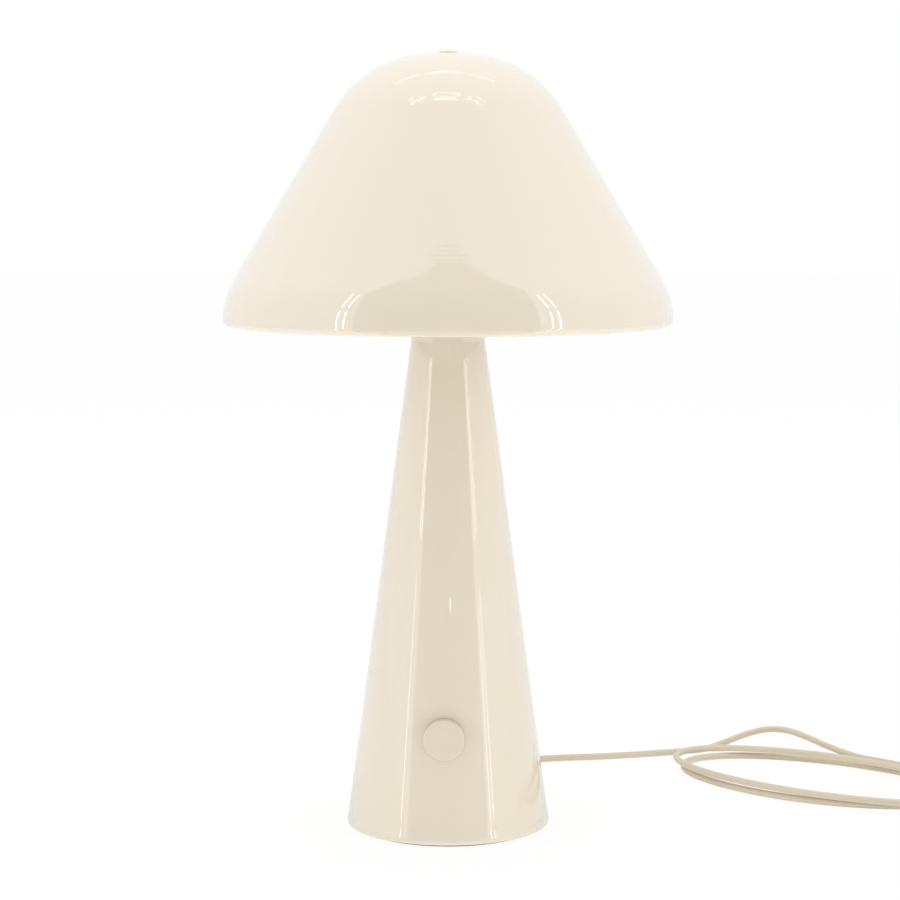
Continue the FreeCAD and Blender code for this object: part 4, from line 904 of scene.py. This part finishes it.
def make_sky():
    """White to the camera, a little darker at the back in reflections, and a plain level as light."""
    world = bpy.data.worlds.new("studio")
    bpy.context.scene.world = world
    world.use_nodes = True
    tree = world.node_tree
    sky = tree.nodes["Background"]
    sky.inputs["Color"].default_value = (1, 1, 1, 1)
    path = add(tree, "ShaderNodeLightPath")
    place = add(tree, "ShaderNodeTexCoord")
    apart = add(tree, "ShaderNodeSeparateXYZ")
    behind = add(tree, "ShaderNodeMapRange",
                 {"From Min": 0.1, "From Max": 0.9, "To Min": 0.0, "To Max": 1.0 - BACK_LEVEL},
                 interpolation_type="SMOOTHSTEP")
    cut = add(tree, "ShaderNodeMath", operation="MULTIPLY")
    seen = add(tree, "ShaderNodeMath", operation="SUBTRACT")
    seen.inputs[0].default_value = 1.0
    level = add(tree, "ShaderNodeMapRange", {"To Max": SKY_LEVEL})
    link(tree, place, "Generated", apart, 0)
    link(tree, apart, "Y", behind, "Value")
    link(tree, behind, "Result", cut, 0)
    link(tree, path, "Is Glossy Ray", cut, 1)
    link(tree, cut, 0, seen, 1)
    link(tree, seen, 0, level, "To Min")
    link(tree, path, "Is Diffuse Ray", level, "Value")
    link(tree, level, "Result", sky, "Strength")


def soft_lamp(name, at, aim, size, power):
    """A square lamp that lights the object and is not mirrored in it."""
    data = bpy.data.lights.new(name, "AREA")
    data.size = size
    data.energy = power
    lamp = bpy.data.objects.new(name, data)
    lamp.location = at
    lamp.rotation_euler = (Vector(aim) - Vector(at)).to_track_quat("-Z", "Y").to_euler()
    lamp.visible_glossy = False
    bpy.context.scene.collection.objects.link(lamp)


def low_spot(name, azimuth, power):
    """A soft spot that lights the base from the front and stays under the shade."""
    data = bpy.data.lights.new(name, "SPOT")
    data.energy = power
    data.spot_size = math.radians(LOW_CONE)
    data.spot_blend = LOW_BLEND
    data.shadow_soft_size = LOW_SIZE
    lamp = bpy.data.objects.new(name, data)
    angle = math.radians(azimuth)
    lamp.location = Vector((math.sin(angle) * LOW_AWAY, -math.cos(angle) * LOW_AWAY, LOW_HEIGHT))
    aim = Vector((0, 0, LOW_HEIGHT + LOW_AIM)) - lamp.location
    lamp.rotation_euler = aim.to_track_quat("-Z", "Y").to_euler()
    lamp.visible_glossy = False
    bpy.context.scene.collection.objects.link(lamp)


def make_room():
    bpy.context.scene.view_settings.view_transform = "Standard"
    stage_plane("floor", [(-FLOOR_HALF, -FLOOR_HALF, FLOOR_Z), (FLOOR_HALF, -FLOOR_HALF, FLOOR_Z),
                          (FLOOR_HALF, FLOOR_HALF, FLOOR_Z), (-FLOOR_HALF, FLOOR_HALF, FLOOR_Z)],
                floor_material())
    make_sky()
    soft_lamp("overhead_lamp", OVERHEAD_AT, OVERHEAD_AIM, OVERHEAD_SIZE, OVERHEAD_POWER)
    for name, side in (("left_lamp", -1), ("right_lamp", 1)):
        soft_lamp(name, (side * SIDE_AT[0], *SIDE_AT[1:]), SIDE_AIM, SIDE_SIZE, SIDE_POWER)
    low_spot("left_spot", -SPOT_TURN, LEFT_POWER)
    low_spot("right_spot", SPOT_TURN, RIGHT_POWER)
    dark = glow("dark_front", (FRONT_LEVEL, FRONT_LEVEL, FRONT_LEVEL), 1.0)
    only_in_gloss(stage_plane("front_board", [(x, FRONT_BOARD_Y, z) for x, z in FRONT_BOARD], dark))
    left, right = FRONT_BOARD[0][0], FRONT_BOARD[1][0]
    only_in_gloss(stage_plane("front_mat", [(left, FRONT_BOARD_Y, MAT_Z), (right, FRONT_BOARD_Y, MAT_Z),
                                            (MAT_HALF, MAT_END, MAT_Z), (-MAT_HALF, MAT_END, MAT_Z)], dark))
    make_ceiling(glow("front_ceiling_light", (1, 1, 1), FRONT_CEILING_LIGHT),
                 glow("back_ceiling_light", (1, 1, 1), BACK_CEILING_LIGHT))
    tube = glow("tube_light", TUBE_COLOUR, TUBE_LIGHT)
    upper_tube = glow("upper_tube_light", TUBE_COLOUR, UPPER_TUBE_LIGHT)
    for n, (azimuth, low, high) in enumerate(TUBES):
        angle = math.radians(azimuth)
        at = Vector((math.sin(angle), -math.cos(angle), 0)) * TUBE_AWAY
        across = Vector((math.cos(angle), math.sin(angle), 0)) * TUBE_HALF
        only_in_gloss(stage_plane(f"side_tube_{n}", [(*(at - across).xy, low), (*(at + across).xy, low),
                                                     (*(at + across).xy, high), (*(at - across).xy, high)],
                                  upper_tube if low > UPPER_TUBES_FROM else tube))
    left, right, low, high = FRONT_SPOT
    only_in_gloss(stage_plane("front_spot", [(left, FRONT_SPOT_Y, low), (right, FRONT_SPOT_Y, low),
                                             (right, FRONT_SPOT_Y, high), (left, FRONT_SPOT_Y, high)], tube))


def main():
    set_camera()
    build_groups()
    materials = build_materials()
    make_cord(materials)
    make_base(materials)
    make_shade(materials)
    make_cap(materials)
    make_button(materials)
    make_spring(materials)
    dress_nodes(materials)
    make_room()


main()
